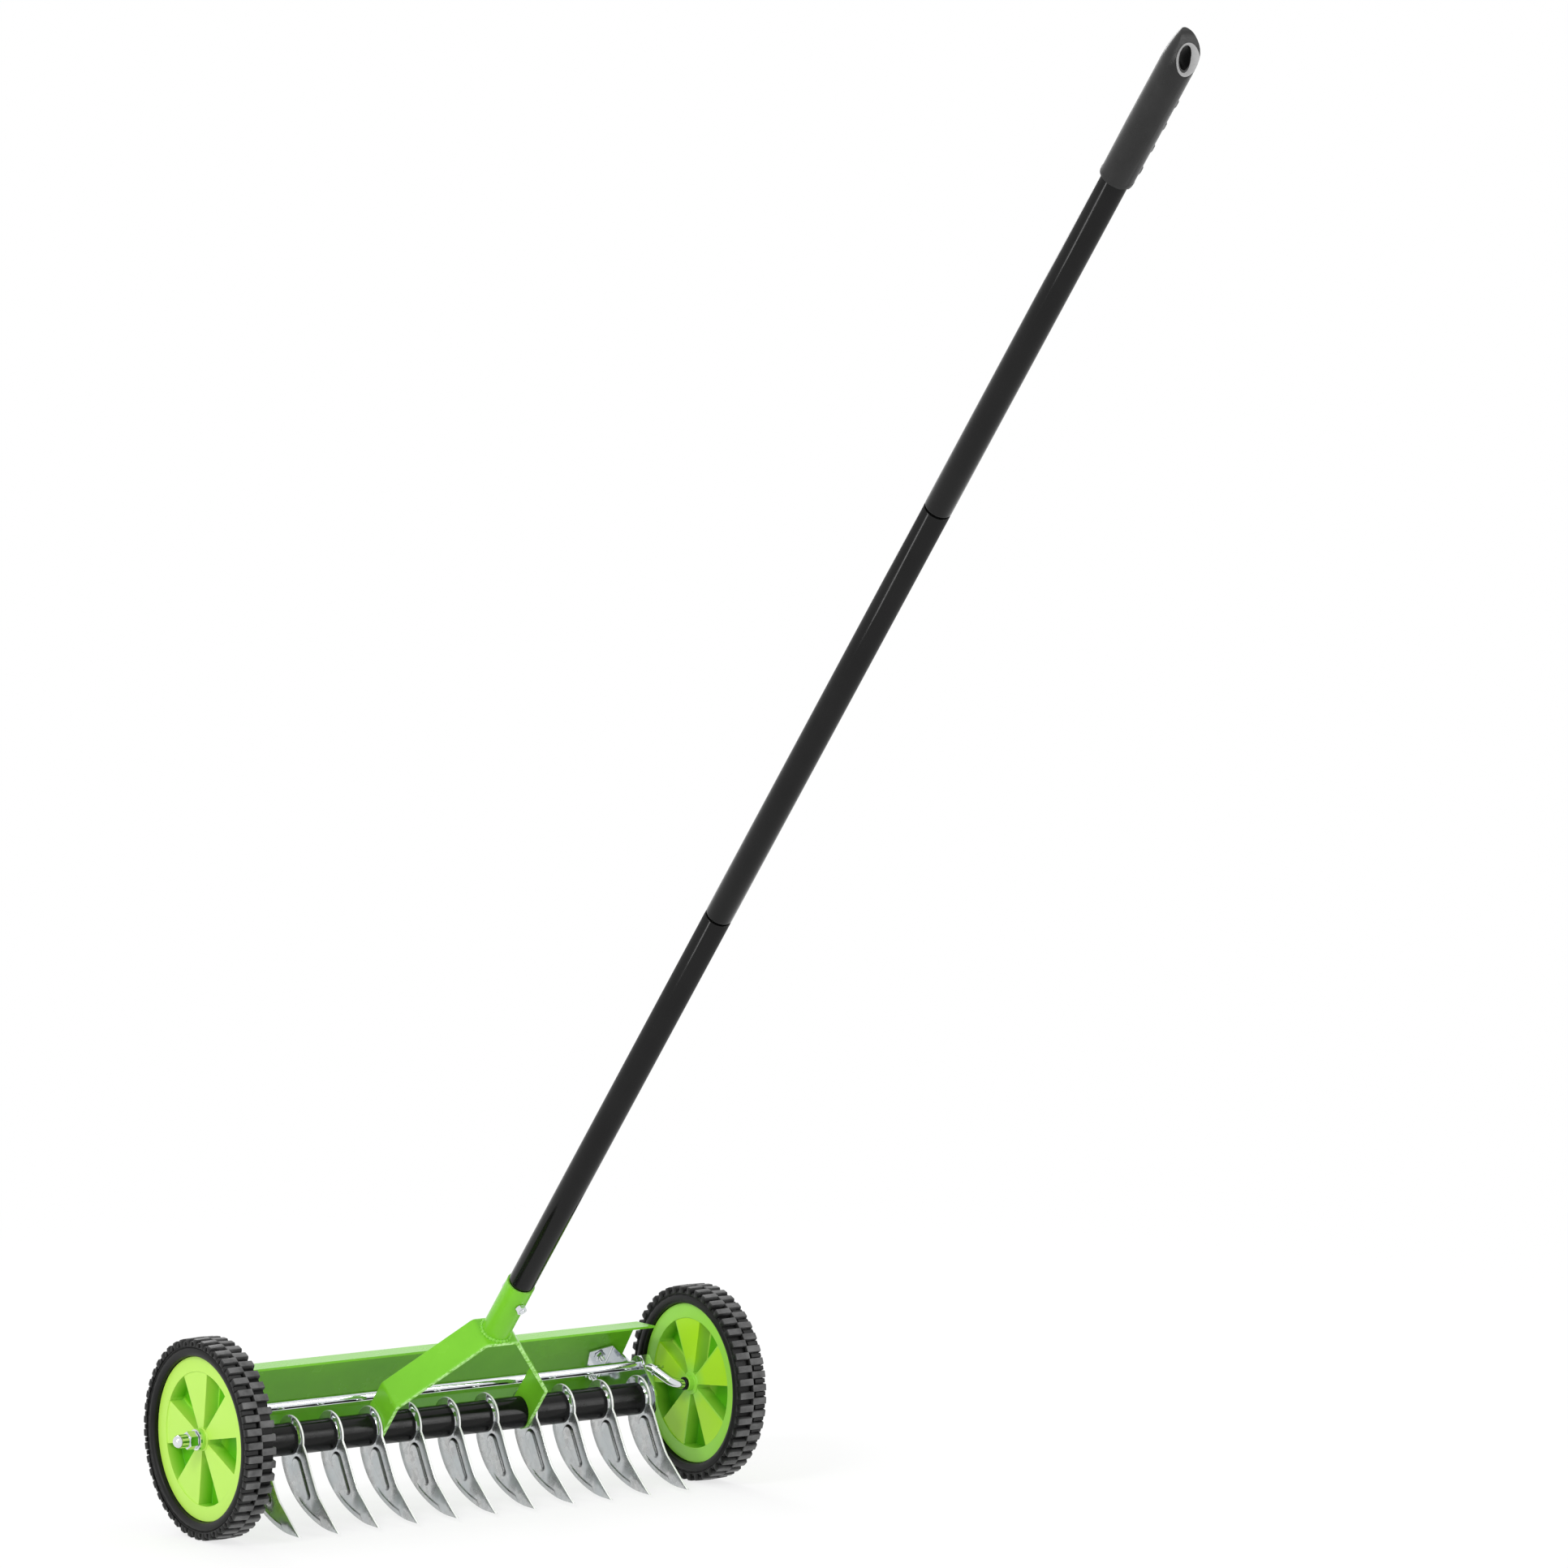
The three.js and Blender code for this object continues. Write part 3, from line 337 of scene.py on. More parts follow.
def make(name, bm, place, slot, body, *nodes, sharp_above=40, even=True):
    """A whole piece from its mesh. The slot is the name of a finish."""
    obj = piece_object(name, bm, place, sharp_above)
    if even:
        obj.modifiers.new("flat faces stay flat", "WEIGHTED_NORMAL").keep_sharp = True
    settle(obj, body, slot, *nodes)


def on_side(side, place):
    return place if side == "right" else MIRROR @ place


def make_pair(name, build, place, slot, body, *nodes, **options):
    """A right piece and its mirror image. In each name, {} stands for the side."""
    for side in SIDES:
        make(name.format(side), build(), on_side(side, place), slot, body,
             *(node.format(side) for node in nodes), **options)


# %% [markdown]
# ## Repeats as Geometry Nodes
# Eleven tines, ten spacers, ninety-two tyre lugs: a repeat is best said once, as a rule. The
# first tree puts copies of its mesh in a straight row, the second turns copies round an
# axle, and the third sweeps a rod along a line. All end in Realize Instances and Set
# Material, so that what comes out is a plain mesh. A modifier's input is set by its
# identifier, which stays the same if it is renamed.

# %% Node tree helpers
SOCKET_KINDS = {int: "Int", float: "Float", Vector: "Vector"}


def new_tree(name, family, inputs, outputs):
    """A node group. Each input has a first value, or the kind of its socket as a word."""
    tree = bpy.data.node_groups.new(name, family)
    for title, value in inputs.items():
        kind = SOCKET_KINDS.get(type(value), value)
        socket = tree.interface.new_socket(title, in_out="INPUT", socket_type="NodeSocket" + kind)
        if kind != value:
            socket.default_value = value
    for title, kind in outputs.items():
        tree.interface.new_socket(title, in_out="OUTPUT", socket_type="NodeSocket" + kind)
    return tree, tree.nodes.new("NodeGroupInput").outputs, tree.nodes.new("NodeGroupOutput").inputs


def feed(tree, source, target):
    """Links a node or a socket to an input, or sets the input to a plain value."""
    if isinstance(source, bpy.types.Node):
        source = source.outputs[0]
    if isinstance(source, bpy.types.NodeSocket):
        tree.links.new(source, target)
    else:
        target.default_value = source


def add_node(tree, kind, inputs=(), **settings):
    """A node with its settings, whose inputs are fed from nodes, sockets or values."""
    node = tree.nodes.new(kind)
    for setting, value in settings.items():
        setattr(node, setting, value)
    for where, source in dict(inputs).items():
        feed(tree, source, node.inputs[where])
    return node


def calculate(tree, operation, *values, **settings):
    return add_node(tree, "ShaderNodeMath", dict(enumerate(values)), operation=operation,
                    **settings)


def remapped(tree, value, low, high, start=0.0, end=1.0, **settings):
    """Maps a value from the range start to end onto the range low to high."""
    return add_node(tree, "ShaderNodeMapRange", {"Value": value, "From Min": start, "From Max": end,
                                                 "To Min": low, "To Max": high}, **settings)


def geometry_tree(name, **inputs):
    return new_tree(name, "GeometryNodeTree", {"Geometry": "Geometry", **inputs,
                                               "Material": "Material"}, {"Geometry": "Geometry"})


def end_tree(tree, source, given, out):
    """Ends a tree: real geometry, then its material."""
    real = add_node(tree, "GeometryNodeRealizeInstances", {"Geometry": source})
    feed(tree, add_node(tree, "GeometryNodeSetMaterial",
                        {"Geometry": real, "Material": given["Material"]}), out["Geometry"])


def tree_mesh(obj, tree, **values):
    """The plain mesh that a tree makes of an object. Each value goes to the input of its name."""
    modifier = obj.modifiers.new(tree.name, "NODES")
    modifier.node_group = tree
    for socket in tree.interface.items_tree:
        if socket.in_out == "INPUT" and socket.name in values:
            modifier[socket.identifier] = values[socket.name]
    evaluated = obj.evaluated_get(bpy.context.evaluated_depsgraph_get())
    return bpy.data.meshes.new_from_object(evaluated)


def repeat(name, bm, tree, body, slot, *nodes, sharp_above=40, turn=STAY, put=None, **values):
    """A piece that a tree makes out of one mesh. The result can be put in another place."""
    obj = piece_object(name, bm, turn, sharp_above)
    mesh = tree_mesh(obj, tree, Material=finishes[slot], **values)
    obj.modifiers.clear()
    obj.data = mesh
    if put:
        mesh.transform(PARTS_IN_MM @ put @ Matrix.Scale(1 / MM, 4))
    settle(obj, body, slot, *nodes)


# %% The row tree
row_tree, given, out = geometry_tree("row along the shaft", Count=2, Start=0.0, Pitch=0.038,
                                     Tilt=0.0, Seed=3, Pivot=Vector())
step = add_node(row_tree, "ShaderNodeCombineXYZ", {"X": given["Pitch"]})
start = add_node(row_tree, "ShaderNodeCombineXYZ", {"X": given["Start"]})
first = add_node(row_tree, "ShaderNodeVectorMath", {0: start, 1: given["Pivot"]}, operation="ADD")
line = add_node(row_tree, "GeometryNodeMeshLine",
                {"Count": given["Count"], "Start Location": first, "Offset": step})
tilt = add_node(row_tree, "FunctionNodeRandomValue",
                {2: calculate(row_tree, "SUBTRACT", 0.0, given["Tilt"]), 3: given["Tilt"],
                 "Seed": given["Seed"]}, data_type="FLOAT")
turn = add_node(row_tree, "ShaderNodeCombineXYZ", {"X": tilt.outputs[1]})
copies = add_node(row_tree, "GeometryNodeInstanceOnPoints",
                  {"Points": line, "Instance": given["Geometry"], "Rotation": turn})
end_tree(row_tree, copies, given, out)

# %% The ring tree
ring_tree, given, out = geometry_tree("ring round an axle", Count=46, Phase=0.0, Centre=Vector())
spots = add_node(ring_tree, "GeometryNodePoints",
                 {"Count": given["Count"], "Position": given["Centre"]})
step = calculate(ring_tree, "DIVIDE", WHOLE_TURN, given["Count"])
index = add_node(ring_tree, "GeometryNodeInputIndex")
angle = calculate(ring_tree, "MULTIPLY_ADD", index, step, given["Phase"])
turn = add_node(ring_tree, "ShaderNodeCombineXYZ", {"X": angle})
copies = add_node(ring_tree, "GeometryNodeInstanceOnPoints",
                  {"Points": spots, "Instance": given["Geometry"], "Rotation": turn})
end_tree(ring_tree, copies, given, out)

# %% The bent rod tree
rod_tree, given, out = geometry_tree("rod with rounded bends", Radius=0.004, Bend=0.009, Steps=14,
                                     Sides=40)
bends = add_node(rod_tree, "GeometryNodeFilletCurve",
                 {"Curve": given["Geometry"], "Count": given["Steps"], "Radius": given["Bend"]},
                 mode="POLY")
section = add_node(rod_tree, "GeometryNodeCurvePrimitiveCircle",
                   {"Resolution": given["Sides"], "Radius": given["Radius"]})
skin = add_node(rod_tree, "GeometryNodeCurveToMesh",
                {"Curve": bends, "Profile Curve": section, "Fill Caps": True})
end_tree(rod_tree, skin, given, out)

# %% [markdown]
# ## What finishes have in common
# Small shader groups hold the effects that a finish is made of: a fine relief, slow blotches
# of gloss, a painted highlight on sharp edges, and the crystal pattern of a zinc coat. They
# put out only masks and heights. The shader itself stays in each material, where its
# constant values are set on its own sockets.

# %% Shader groups
def shader_group(name, inputs, *outputs):
    return new_tree(name, "ShaderNodeTree", inputs, dict.fromkeys(outputs, "Float"))


def noise(tree, scale, **inputs):
    """A noise that stays with the object, whatever its place."""
    where = tree.nodes.new("ShaderNodeTexCoord").outputs["Object"]
    return add_node(tree, "ShaderNodeTexNoise", {"Vector": where, "Scale": scale, **inputs})


relief_group, given, out = shader_group("fine relief", {"Scale": 800.0, "Detail": 2.0}, "Height")
feed(relief_group, noise(relief_group, given["Scale"], Detail=given["Detail"]), out["Height"])

blotch_group, given, out = shader_group(
    "slow blotches", {"Scale": 30.0, "Low": 0.3, "High": 0.4}, "Value", "Mask")
cloud = noise(blotch_group, given["Scale"], Detail=5.0, Roughness=0.6)
mask = remapped(blotch_group, cloud, 0.0, 1.0, start=0.35, end=0.65)
feed(blotch_group, remapped(blotch_group, mask, given["Low"], given["High"]), out["Value"])
feed(blotch_group, mask, out["Mask"])

# A paler colour on sharp edges, broken up by noise: a painted edge highlight.
edge_group, given, out = shader_group(
    "painted edge highlight", {"Start": 0.53, "Full": 0.6, "Breaks": 900.0}, "Mask")
pointed = edge_group.nodes.new("ShaderNodeNewGeometry").outputs["Pointiness"]
edges = remapped(edge_group, pointed, 0.0, 1.0, start=given["Start"], end=given["Full"])
breaks = remapped(edge_group, noise(edge_group, given["Breaks"], Detail=3.0), 0.0, 1.0,
                  start=0.35, end=0.6)
feed(edge_group, calculate(edge_group, "MULTIPLY", edges, breaks), out["Mask"])

crystal_group, given, out = shader_group("zinc crystals", {"Scale": 220.0}, "Tone")
where = crystal_group.nodes.new("ShaderNodeTexCoord").outputs["Object"]
cells = add_node(crystal_group, "ShaderNodeTexVoronoi",
                 {"Vector": where, "Scale": given["Scale"], "Randomness": 1.0})
feed(crystal_group, add_node(crystal_group, "ShaderNodeSeparateColor",
                             {"Color": cells.outputs["Color"]}), out["Tone"])


# %% How a finish is put together
def use_group(tree, group, **values):
    node = add_node(tree, "ShaderNodeGroup", node_tree=group)
    for title, value in values.items():
        node.inputs[title].default_value = value
    return node


def rgba(colour):
    """Red, green, blue and 1, from those three or from one grey level."""
    return (*colour, 1) if isinstance(colour, tuple) else (colour, colour, colour, 1)


def mixed(tree, amount, first, second):
    return add_node(tree, "ShaderNodeMix", {0: amount, 6: first, 7: second},
                    data_type="RGBA").outputs[2]


def mark(tree, name):
    return add_node(tree, "ShaderNodeAttribute", attribute_name=name).outputs["Fac"]


MASK_GROUPS = {"edges": (edge_group, {"Start": 0.575, "Full": 0.68, "Breaks": 300.0}),
               "crystals": (crystal_group, {"Scale": 260.0})}


def finish(name, gloss, grain, bump, base, layers, **constants):
    """A material from its numbers: a gloss range, a grain, a base colour and its layers.

    gloss is the size of the blotches and the least and greatest roughness. grain is the size
    and detail of the relief, and bump its strength and its height in metres. A layer is a
    colour and the mask that it lies under: blotches, edges, crystals or else a mark.
    """
    material = bpy.data.materials.new(name)
    material.use_nodes = True
    tree = material.node_tree
    shader = tree.nodes["Principled BSDF"].inputs
    for title, value in constants.items():
        shader[title.replace("_", " ")].default_value = value
    blotches = use_group(tree, blotch_group, Scale=gloss[0], Low=gloss[1], High=gloss[2])
    relief = use_group(tree, relief_group, Scale=grain[0], Detail=grain[1])
    colour = rgba(base)
    for mask, over in layers.items():
        if mask == "blotches":
            amount = blotches.outputs["Mask"]
        elif mask in MASK_GROUPS:
            group, values = MASK_GROUPS[mask]
            amount = use_group(tree, group, **values)
        else:
            amount = mark(tree, mask)
        if isinstance(over, list):
            over = mixed(tree, blotches.outputs["Mask"], *map(rgba, over))
        else:
            over = rgba(over)
        colour = mixed(tree, amount, colour, over)
    feed(tree, colour, shader["Base Color"])
    feed(tree, blotches.outputs["Value"], shader["Roughness"])
    feed(tree, add_node(tree, "ShaderNodeBump", {"Height": relief, "Strength": bump[0],
                                                 "Distance": bump[1]}), shader["Normal"])
    return material


# %% [markdown]
# ## The finishes
# Powder coat on the sheet metal is smooth but never quite flat: it has orange peel, and its
# edges are painted a paler green as a painted highlight. The lime plastic has painted light:
# its web is brighter as light shining through it, its outer face paler as a painted sheen,
# and its pockets darker as painted shade. Galvanised tines are pale and mottled, with painted
# shade along their pressings and painted white highlight lines on their cut edges, while the
# plated rod and brackets are nearly mirrors. The black parts differ only in gloss and grain:
# lug tops and rib crests are a lighter grey, partly wear and partly a painted highlight, and
# the bevel round the grip's eye is painted pale as a highlight.

# %% The table of finishes
def dark_polymer(name, gloss, dark, light, grain, bump, specular):
    """A black plastic or rubber. A layer of two greys is blotched itself."""
    # The grey layer on lug tops and rib crests is partly wear and partly a painted highlight; the
    # pale layer is a painted highlight on the grip's eye bevel.
    layers = {"blotches": light, "wear_and_painted_highlight": [0.06, 0.14], "pale": 0.42}
    return finish(name, (60.0, *gloss), (grain, 3.0), bump, dark, layers,
                  Specular_IOR_Level=specular)


finishes = {
    "green_paint": finish(
        "green powder coat", (22.0, 0.2, 0.3), (620.0, 1.0), (0.07, 0.0002), (0.165, 0.50, 0.022),
        # The paler green on the edges is a painted highlight.
        {"blotches": (0.185, 0.54, 0.026), "edges": (0.50, 0.86, 0.30)},
        Coat_Weight=0.1, Coat_Roughness=0.08, Specular_IOR_Level=0.2),
    "black_paint": finish(
        "black gloss paint", (14.0, 0.12, 0.2), (420.0, 1.0), (0.08, 0.0002), 0.003,
        {"blotches": 0.005}, Coat_Weight=0.1, Coat_Roughness=0.04, Specular_IOR_Level=0.16),
    "lime_plastic": finish(
        "lime moulded plastic", (35.0, 0.34, 0.44), (1500.0, 2.0), (0.08, 0.0001),
        # The web is painted brighter as light shining through it, the outer face paler as a painted
        # sheen, and the pockets darker as painted shade.
        (0.30, 0.68, 0.06), {"thin": (0.40, 0.76, 0.012), "outside": (0.42, 0.70, 0.085),
                             "pocket_painted_shade": (0.10, 0.44, 0.005)}, Specular_IOR_Level=0.45),
    "tyre_rubber": dark_polymer(
        "black tyre rubber", (0.34, 0.46), 0.004, 0.008, 2200.0, (0.3, 0.00012), 0.2),
    "black_plastic": dark_polymer(
        "black spacer plastic", (0.16, 0.26), 0.004, 0.007, 1500.0, (0.08, 0.0001), 0.2),
    "grip_plastic": dark_polymer(
        "black grip plastic", (0.26, 0.34), 0.006, 0.01, 1600.0, (0.4, 0.00015), 0.36),
    "galvanised_steel": finish(
        "galvanised sheet", (45.0, 0.22, 0.36), (1800.0, 3.0), (0.2, 0.00008), 0.40,
        # The dark layer is painted shade along the pressings; the white layer is a painted
        # highlight line on the cut edges.
        {"crystals": 0.56, "blotches": (0.50, 0.53, 0.545), "fold_painted_shade": 0.03, "cut": 0.9}),
    "zinc_steel": finish(
        "bright zinc plate", (70.0, 0.09, 0.2), (900.0, 2.0), (0.06, 0.00008),
        (0.74, 0.76, 0.78), {"blotches": (0.66, 0.69, 0.72)}, Metallic=1.0),
}

# The cut edges are painted white and made hardly metallic as a painted highlight line, and the
# rings of the tines are polished by the shaft.
steel = finishes["galvanised_steel"].node_tree
steel_inputs = steel.nodes["Principled BSDF"].inputs
steel_gloss = steel_inputs["Roughness"].links[0].from_socket
feed(steel, remapped(steel, mark(steel, "cut"), 0.85, 0.1), steel_inputs["Metallic"])
feed(steel, remapped(steel, mark(steel, "polish"), steel_gloss, 0.06), steel_inputs["Roughness"])

# %% [markdown]
# ## Tines
# Each tine is stamped from 2 mm sheet: a ring for the shaft, a curved blade, a long teardrop
# pressed out to the left for stiffness and a short crease near its front edge. A flat
# outline alone would look like card. So the sheet is meshed with rows of points along the
# pressed shapes, and each point is pushed sideways by the depth of the pressing there. Marks
# say where painted shade lies along the pressings, where the cut edges get a painted white
# highlight line, and where the sheet is polished.

# %% Tine outline
TINE_HALF, TINE_EDGE, TINE_EDGE_HALF = 1.0, 0.35, 0.7
TINE_RING, TINE_BORE = 19.5, 5.3
TINE_REACH_BACK, TINE_REACH_DOWN = 74.5, 67.0
FRONT_SHARES = [(-0.177, 0.29), (-0.125, 0.425), (-0.035, 0.572), (0.089, 0.701),
                (0.268, 0.827), (0.494, 0.928), (0.733, 0.988), (1, 1)]
BACK_SHARES = [(1, 1), (0.89, 0.906), (0.678, 0.709), (0.57, 0.604), (0.47, 0.433),
               (0.396, 0.284), (0.329, 0.145)]
RING_FROM, RING_TO = 187.6, -47.8
TEAR_TOP, TEAR_TOP_RADIUS = Vector((-11.2, -20.8)), 7.7
TEAR_END, TEAR_END_RADIUS = Vector((-27.8, -42.8)), 3.6
TEAR_LINE = TEAR_END - TEAR_TOP
TEAR_ROWS = (0.7, 0.35, 0.05, -0.3, -0.7, -1.3, -2.0, -2.7, -3.3)
TEAR_DEPTH, TEAR_WALL, TEAR_SLOPE = 1.4, 0.8, 1.2
TEAR_FOOT, TOP_REACH, REAR_REACH = 0.1, 1.2, 1.4
# These widths and levels, and the crease's dark numbers below, shape the painted shade along the
# teardrop and the crease.
FOLD_OUTSIDE, FOLD_THIN, FOLD_WIDE, FOLD_FADE = 0.5, 0.9, 2.3, 1.6
FOLD_STEEP, FOLD_GENTLE = 0.4, 0.5
CREASE_INSIDE, CREASE_DEPTH, CREASE_HALF, CREASE_END = 4.6, 0.8, 1.2, 2.5
CREASE_FROM, CREASE_TO = 0.5, 0.86
CREASE_DARK_FROM, CREASE_DARK_RISE, CREASE_DARK = 0.45, 4, 0.7
POLISH_PAST, POLISH_FADE = 0.5, 0.4


def blade_edge(shares):
    return [Vector((-back * TINE_REACH_BACK, -down * TINE_REACH_DOWN)) for back, down in shares]


def teardrop(grow, top_steps=22, end_steps=12):
    """Two circles joined by their outer tangents, grown by some distance."""
    heading = math.degrees(math.atan2(TEAR_LINE.y, TEAR_LINE.x))
    lean = math.degrees(math.acos((TEAR_TOP_RADIUS - TEAR_END_RADIUS) / TEAR_LINE.length))
    top = arc(TEAR_TOP, TEAR_TOP_RADIUS + grow, heading + lean, heading + 360 - lean, top_steps)
    end = arc(TEAR_END, TEAR_END_RADIUS + grow, heading - lean, heading + lean, end_steps)
    there, back = ([start.lerp(finish, i / 10) for i in range(1, 10)]
                   for start, finish in ((top[-1], end[0]), (end[-1], top[0])))
    return top + there + end + back


ring = arc((0, 0), TINE_RING, RING_FROM, RING_TO, 40)
front_edge = smooth_through([ring[-1]] + blade_edge(FRONT_SHARES), 4)
back_edge = smooth_through(blade_edge(BACK_SHARES) + [ring[0]], 4)
tine_outline = ring[:-1] + front_edge[:-1] + back_edge[:-1]
creased = slice(int(len(front_edge) * CREASE_FROM), int(len(front_edge) * CREASE_TO))
crease = shifted(front_edge[creased], loop_normals(front_edge)[creased], -CREASE_INSIDE)


# %% Pressed depth
def inside_tear(point):
    """How far inside the teardrop's edge a point lies. It is negative outside."""
    share = min(max((point - TEAR_TOP).dot(TEAR_LINE) / TEAR_LINE.length_squared, 0), 1)
    radius = TEAR_TOP_RADIUS + (TEAR_END_RADIUS - TEAR_TOP_RADIUS) * share
    return radius - (point - TEAR_TOP - TEAR_LINE * share).length


def near_crease(point):
    """How far away the crease is, and the number of its nearest point."""
    return min(((point - p).length, i) for i, p in enumerate(crease))


def gentle_side(point):
    """1 at the teardrop's top and rear, where its wall slopes gently, and 0 in front."""
    line = TEAR_LINE.normalized()
    out = (point - TEAR_TOP) / TEAR_TOP_RADIUS
    rear = smooth_step(0.5 - REAR_REACH * (line.x * out.y - line.y * out.x))
    return max(rear, smooth_step(-TOP_REACH * out.dot(line)))


def pressed(point):
    """How far the sheet stands out sideways at a point of the blade."""
    wall = TEAR_WALL + TEAR_SLOPE * gentle_side(point)
    depth = TEAR_DEPTH * smooth_step((inside_tear(point) + TEAR_FOOT) / wall)
    distance, place = near_crease(point)
    ends = smooth_step(min(place, len(crease) - 1 - place) / CREASE_END)
    return depth + CREASE_DEPTH * ends * (1 - smooth_step(distance / CREASE_HALF))


def pressing_shade_level(point):
    """How much painted shade the edge of a pressing gets: a thin line in front, and a wide band
    elsewhere.
    """
    inside, gentle = inside_tear(point), gentle_side(point)
    width = FOLD_THIN + (FOLD_WIDE - FOLD_THIN) * gentle
    if inside < 0:
        at_edge = max(0, 1 + inside / FOLD_OUTSIDE)
    else:
        at_edge = smooth_step(FOLD_FADE * (1 - inside / width))
    distance, place = near_crease(point)
    low = smooth_step((place / len(crease) - CREASE_DARK_FROM) * CREASE_DARK_RISE)
    low *= 1 - smooth_step(distance / CREASE_HALF)
    return max(at_edge * (FOLD_STEEP + FOLD_GENTLE * gentle), CREASE_DARK * low)


def tine_sheet():
    """The pressed sheet: points in rows, joined by triangles, with a back, a front and a rim."""
    inset = shifted(tine_outline, loop_normals(tine_outline), -TINE_EDGE)
    bore = circle(TINE_BORE, 24)
    points, edges = [], []
    for loop in (inset, bore, *(teardrop(grow) for grow in TEAR_ROWS)):
        first = len(points)
        points += loop
        edges += [(first + i, first + (i + 1) % len(loop)) for i in range(len(loop))]
    for side in (-1, -0.5, 0, 0.5, 1):
        points += shifted(crease, loop_normals(crease), side * CREASE_HALF)[1:-1]
    flat, _, triangles, *_ = delaunay_2d_cdt(points, edges, [], 4, 1e-5)
    bm = bmesh.new()
    fold_painted_shade, cut, polish = new_marks(bm, "fold_painted_shade", "cut", "polish")
    faces = []
    for half in (TINE_HALF, -TINE_HALF):
        face = [bm.verts.new((half - pressed(p), p.x, p.y)) for p in flat]
        for vert, p in zip(face, flat):
            # Painted shade along the edges of the pressings.
            vert[fold_painted_shade] = pressing_shade_level(p)
            vert[polish] = smooth_step((TINE_RING + POLISH_PAST - p.length) / POLISH_FADE)
        for corners in triangles:
            bm.faces.new([face[i] for i in corners])
        faces.append(face)
    rim = [[bm.verts.new((x, p.x, p.y)) for p in tine_outline]
           for x in (TINE_EDGE_HALF, -TINE_EDGE_HALF)]
    for vert in rim[0] + rim[1]:
        # The cut edge is painted white: a painted highlight line.
        vert[cut] = 1.0
    full = len(inset)
    bridged(bm, [faces[0][:full], *rim, faces[1][:full]])
    bridged(bm, [face[full:full + len(bore)] for face in faces])
    return bm


# %% The row of tines
TINE_NODES = [name for name in nodes_named("tine_") if name != "tine_shaft"]
TINE_PITCH = (box_mm("tine_02")[2] - box_mm("tine_01")[2]).x
TINE_TILT = math.radians(0.9)

repeat("tines", tine_sheet(), row_tree, "frame", "galvanised_steel", *TINE_NODES, sharp_above=50,
       Count=len(TINE_NODES), Start=-(len(TINE_NODES) - 1) / 2 * TINE_PITCH * MM,
       Pitch=TINE_PITCH * MM, Tilt=TINE_TILT, Seed=5, Pivot=SHAFT * MM)

# %% [markdown]
# ## Shaft, spacers and end nuts
# Black plastic tubes keep the tines apart on a steel shaft, and a nut at each end clamps
# the stack. Eight of the ten tubes are alike, so the row tree makes them in runs. The two
# beside the yoke's ears are shorter. Only the ends of the shaft show, with the nuts and a
# little thread.

# %% Spacers
SPACER_ROUND = 0.9


def tube_between(start, end, inner, outer):
    """The profile of a plain tube."""
    return [(start, inner), (end, inner), (end, outer), (start, outer), (start, inner)]


def spacer(low, high):
    """A short tube along X between two places."""
    radius = box_mm("spacer_01")[1].z - SHAFT.z
    profile = tube_between(low.x, high.x, TINE_BORE + LOOSE_FIT, radius)
    return round_edges(turned(profile, 64), SPACER_ROUND, segments=3)


spacer_boxes = {name: box_mm(name) for name in nodes_named("spacer_")}
usual_length = max(high.x - low.x for low, high, _ in spacer_boxes.values())
short_spacers = [name for name, (low, high, _) in spacer_boxes.items()
                 if high.x - low.x < usual_length - 0.5]
runs = [[]]
for name in spacer_boxes:
    if name in short_spacers:
        runs.append([])
    else:
        runs[-1].append(name)
for number, run in enumerate(run for run in runs if run):
    low, high, middle = spacer_boxes[run[0]]
    middle = Vector((middle.x, 0, 0))
    repeat(f"spacer_run_{number + 1}", spacer(low - middle, high - middle), row_tree, "frame",
           "black_plastic", *run, Count=len(run), Start=middle.x * MM, Pitch=TINE_PITCH * MM,
           Tilt=0.0, Seed=1, Pivot=SHAFT * MM)
for name in short_spacers:
    make(f"{name}_short", spacer(*spacer_boxes[name][:2]), AT_SHAFT, "black_plastic", "frame", name)

# %% Threads, nuts and washers
THREAD_DEPTH, SHAFT_THREAD_PITCH = 0.3, 1.25
CHAMFER_SHARE, HEX_CORNER = 0.97, 0.2
WASHER_ROUND = 0.3


def thread(start, end, radius, pitch):
    """The profile of a threaded stretch, as close rings: a list of (along, radius)."""
    count = max(1, round((end - start) / pitch))
    step = (end - start) / count
    profile = []
    for i in range(count):
        profile += [(start + i * step, radius - THREAD_DEPTH), (start + (i + 0.5) * step, radius)]
    return profile + [(end, radius - THREAD_DEPTH)]


def drill(start, end, radius):
    """The profile of a plain bar."""
    return [(start, 0), (start, radius), (end, radius), (end, 0)]


def hex_body(flats, start, end, bore=0):
    """A hexagon bar along X with turned-off corners, and a bore unless it is zero."""
    corner = flats / math.sqrt(3) + HEX_CORNER
    flat_radius = flats / 2 * CHAMFER_SHARE
    trim = (corner - flat_radius) / math.sqrt(3)
    cone = [(start, 0), (start, flat_radius), (start + trim, corner), (end - trim, corner),
            (end, flat_radius), (end, 0)]
    hexagon = arc((0, 0), flats / math.sqrt(3), 30, 330, 5)
    bar = slab(hexagon, start - OVERRUN, end + OVERRUN)
    nut = carved(bar, turned(cone, 72), "INTERSECT")
    if bore:
        nut = carved(nut, turned(drill(start - 2 * OVERRUN, end + 2 * OVERRUN, bore), 40))
    return nut


def washer(start, end, inner, outer):
    return round_edges(turned(tube_between(start, end, inner, outer), 64), WASHER_ROUND)


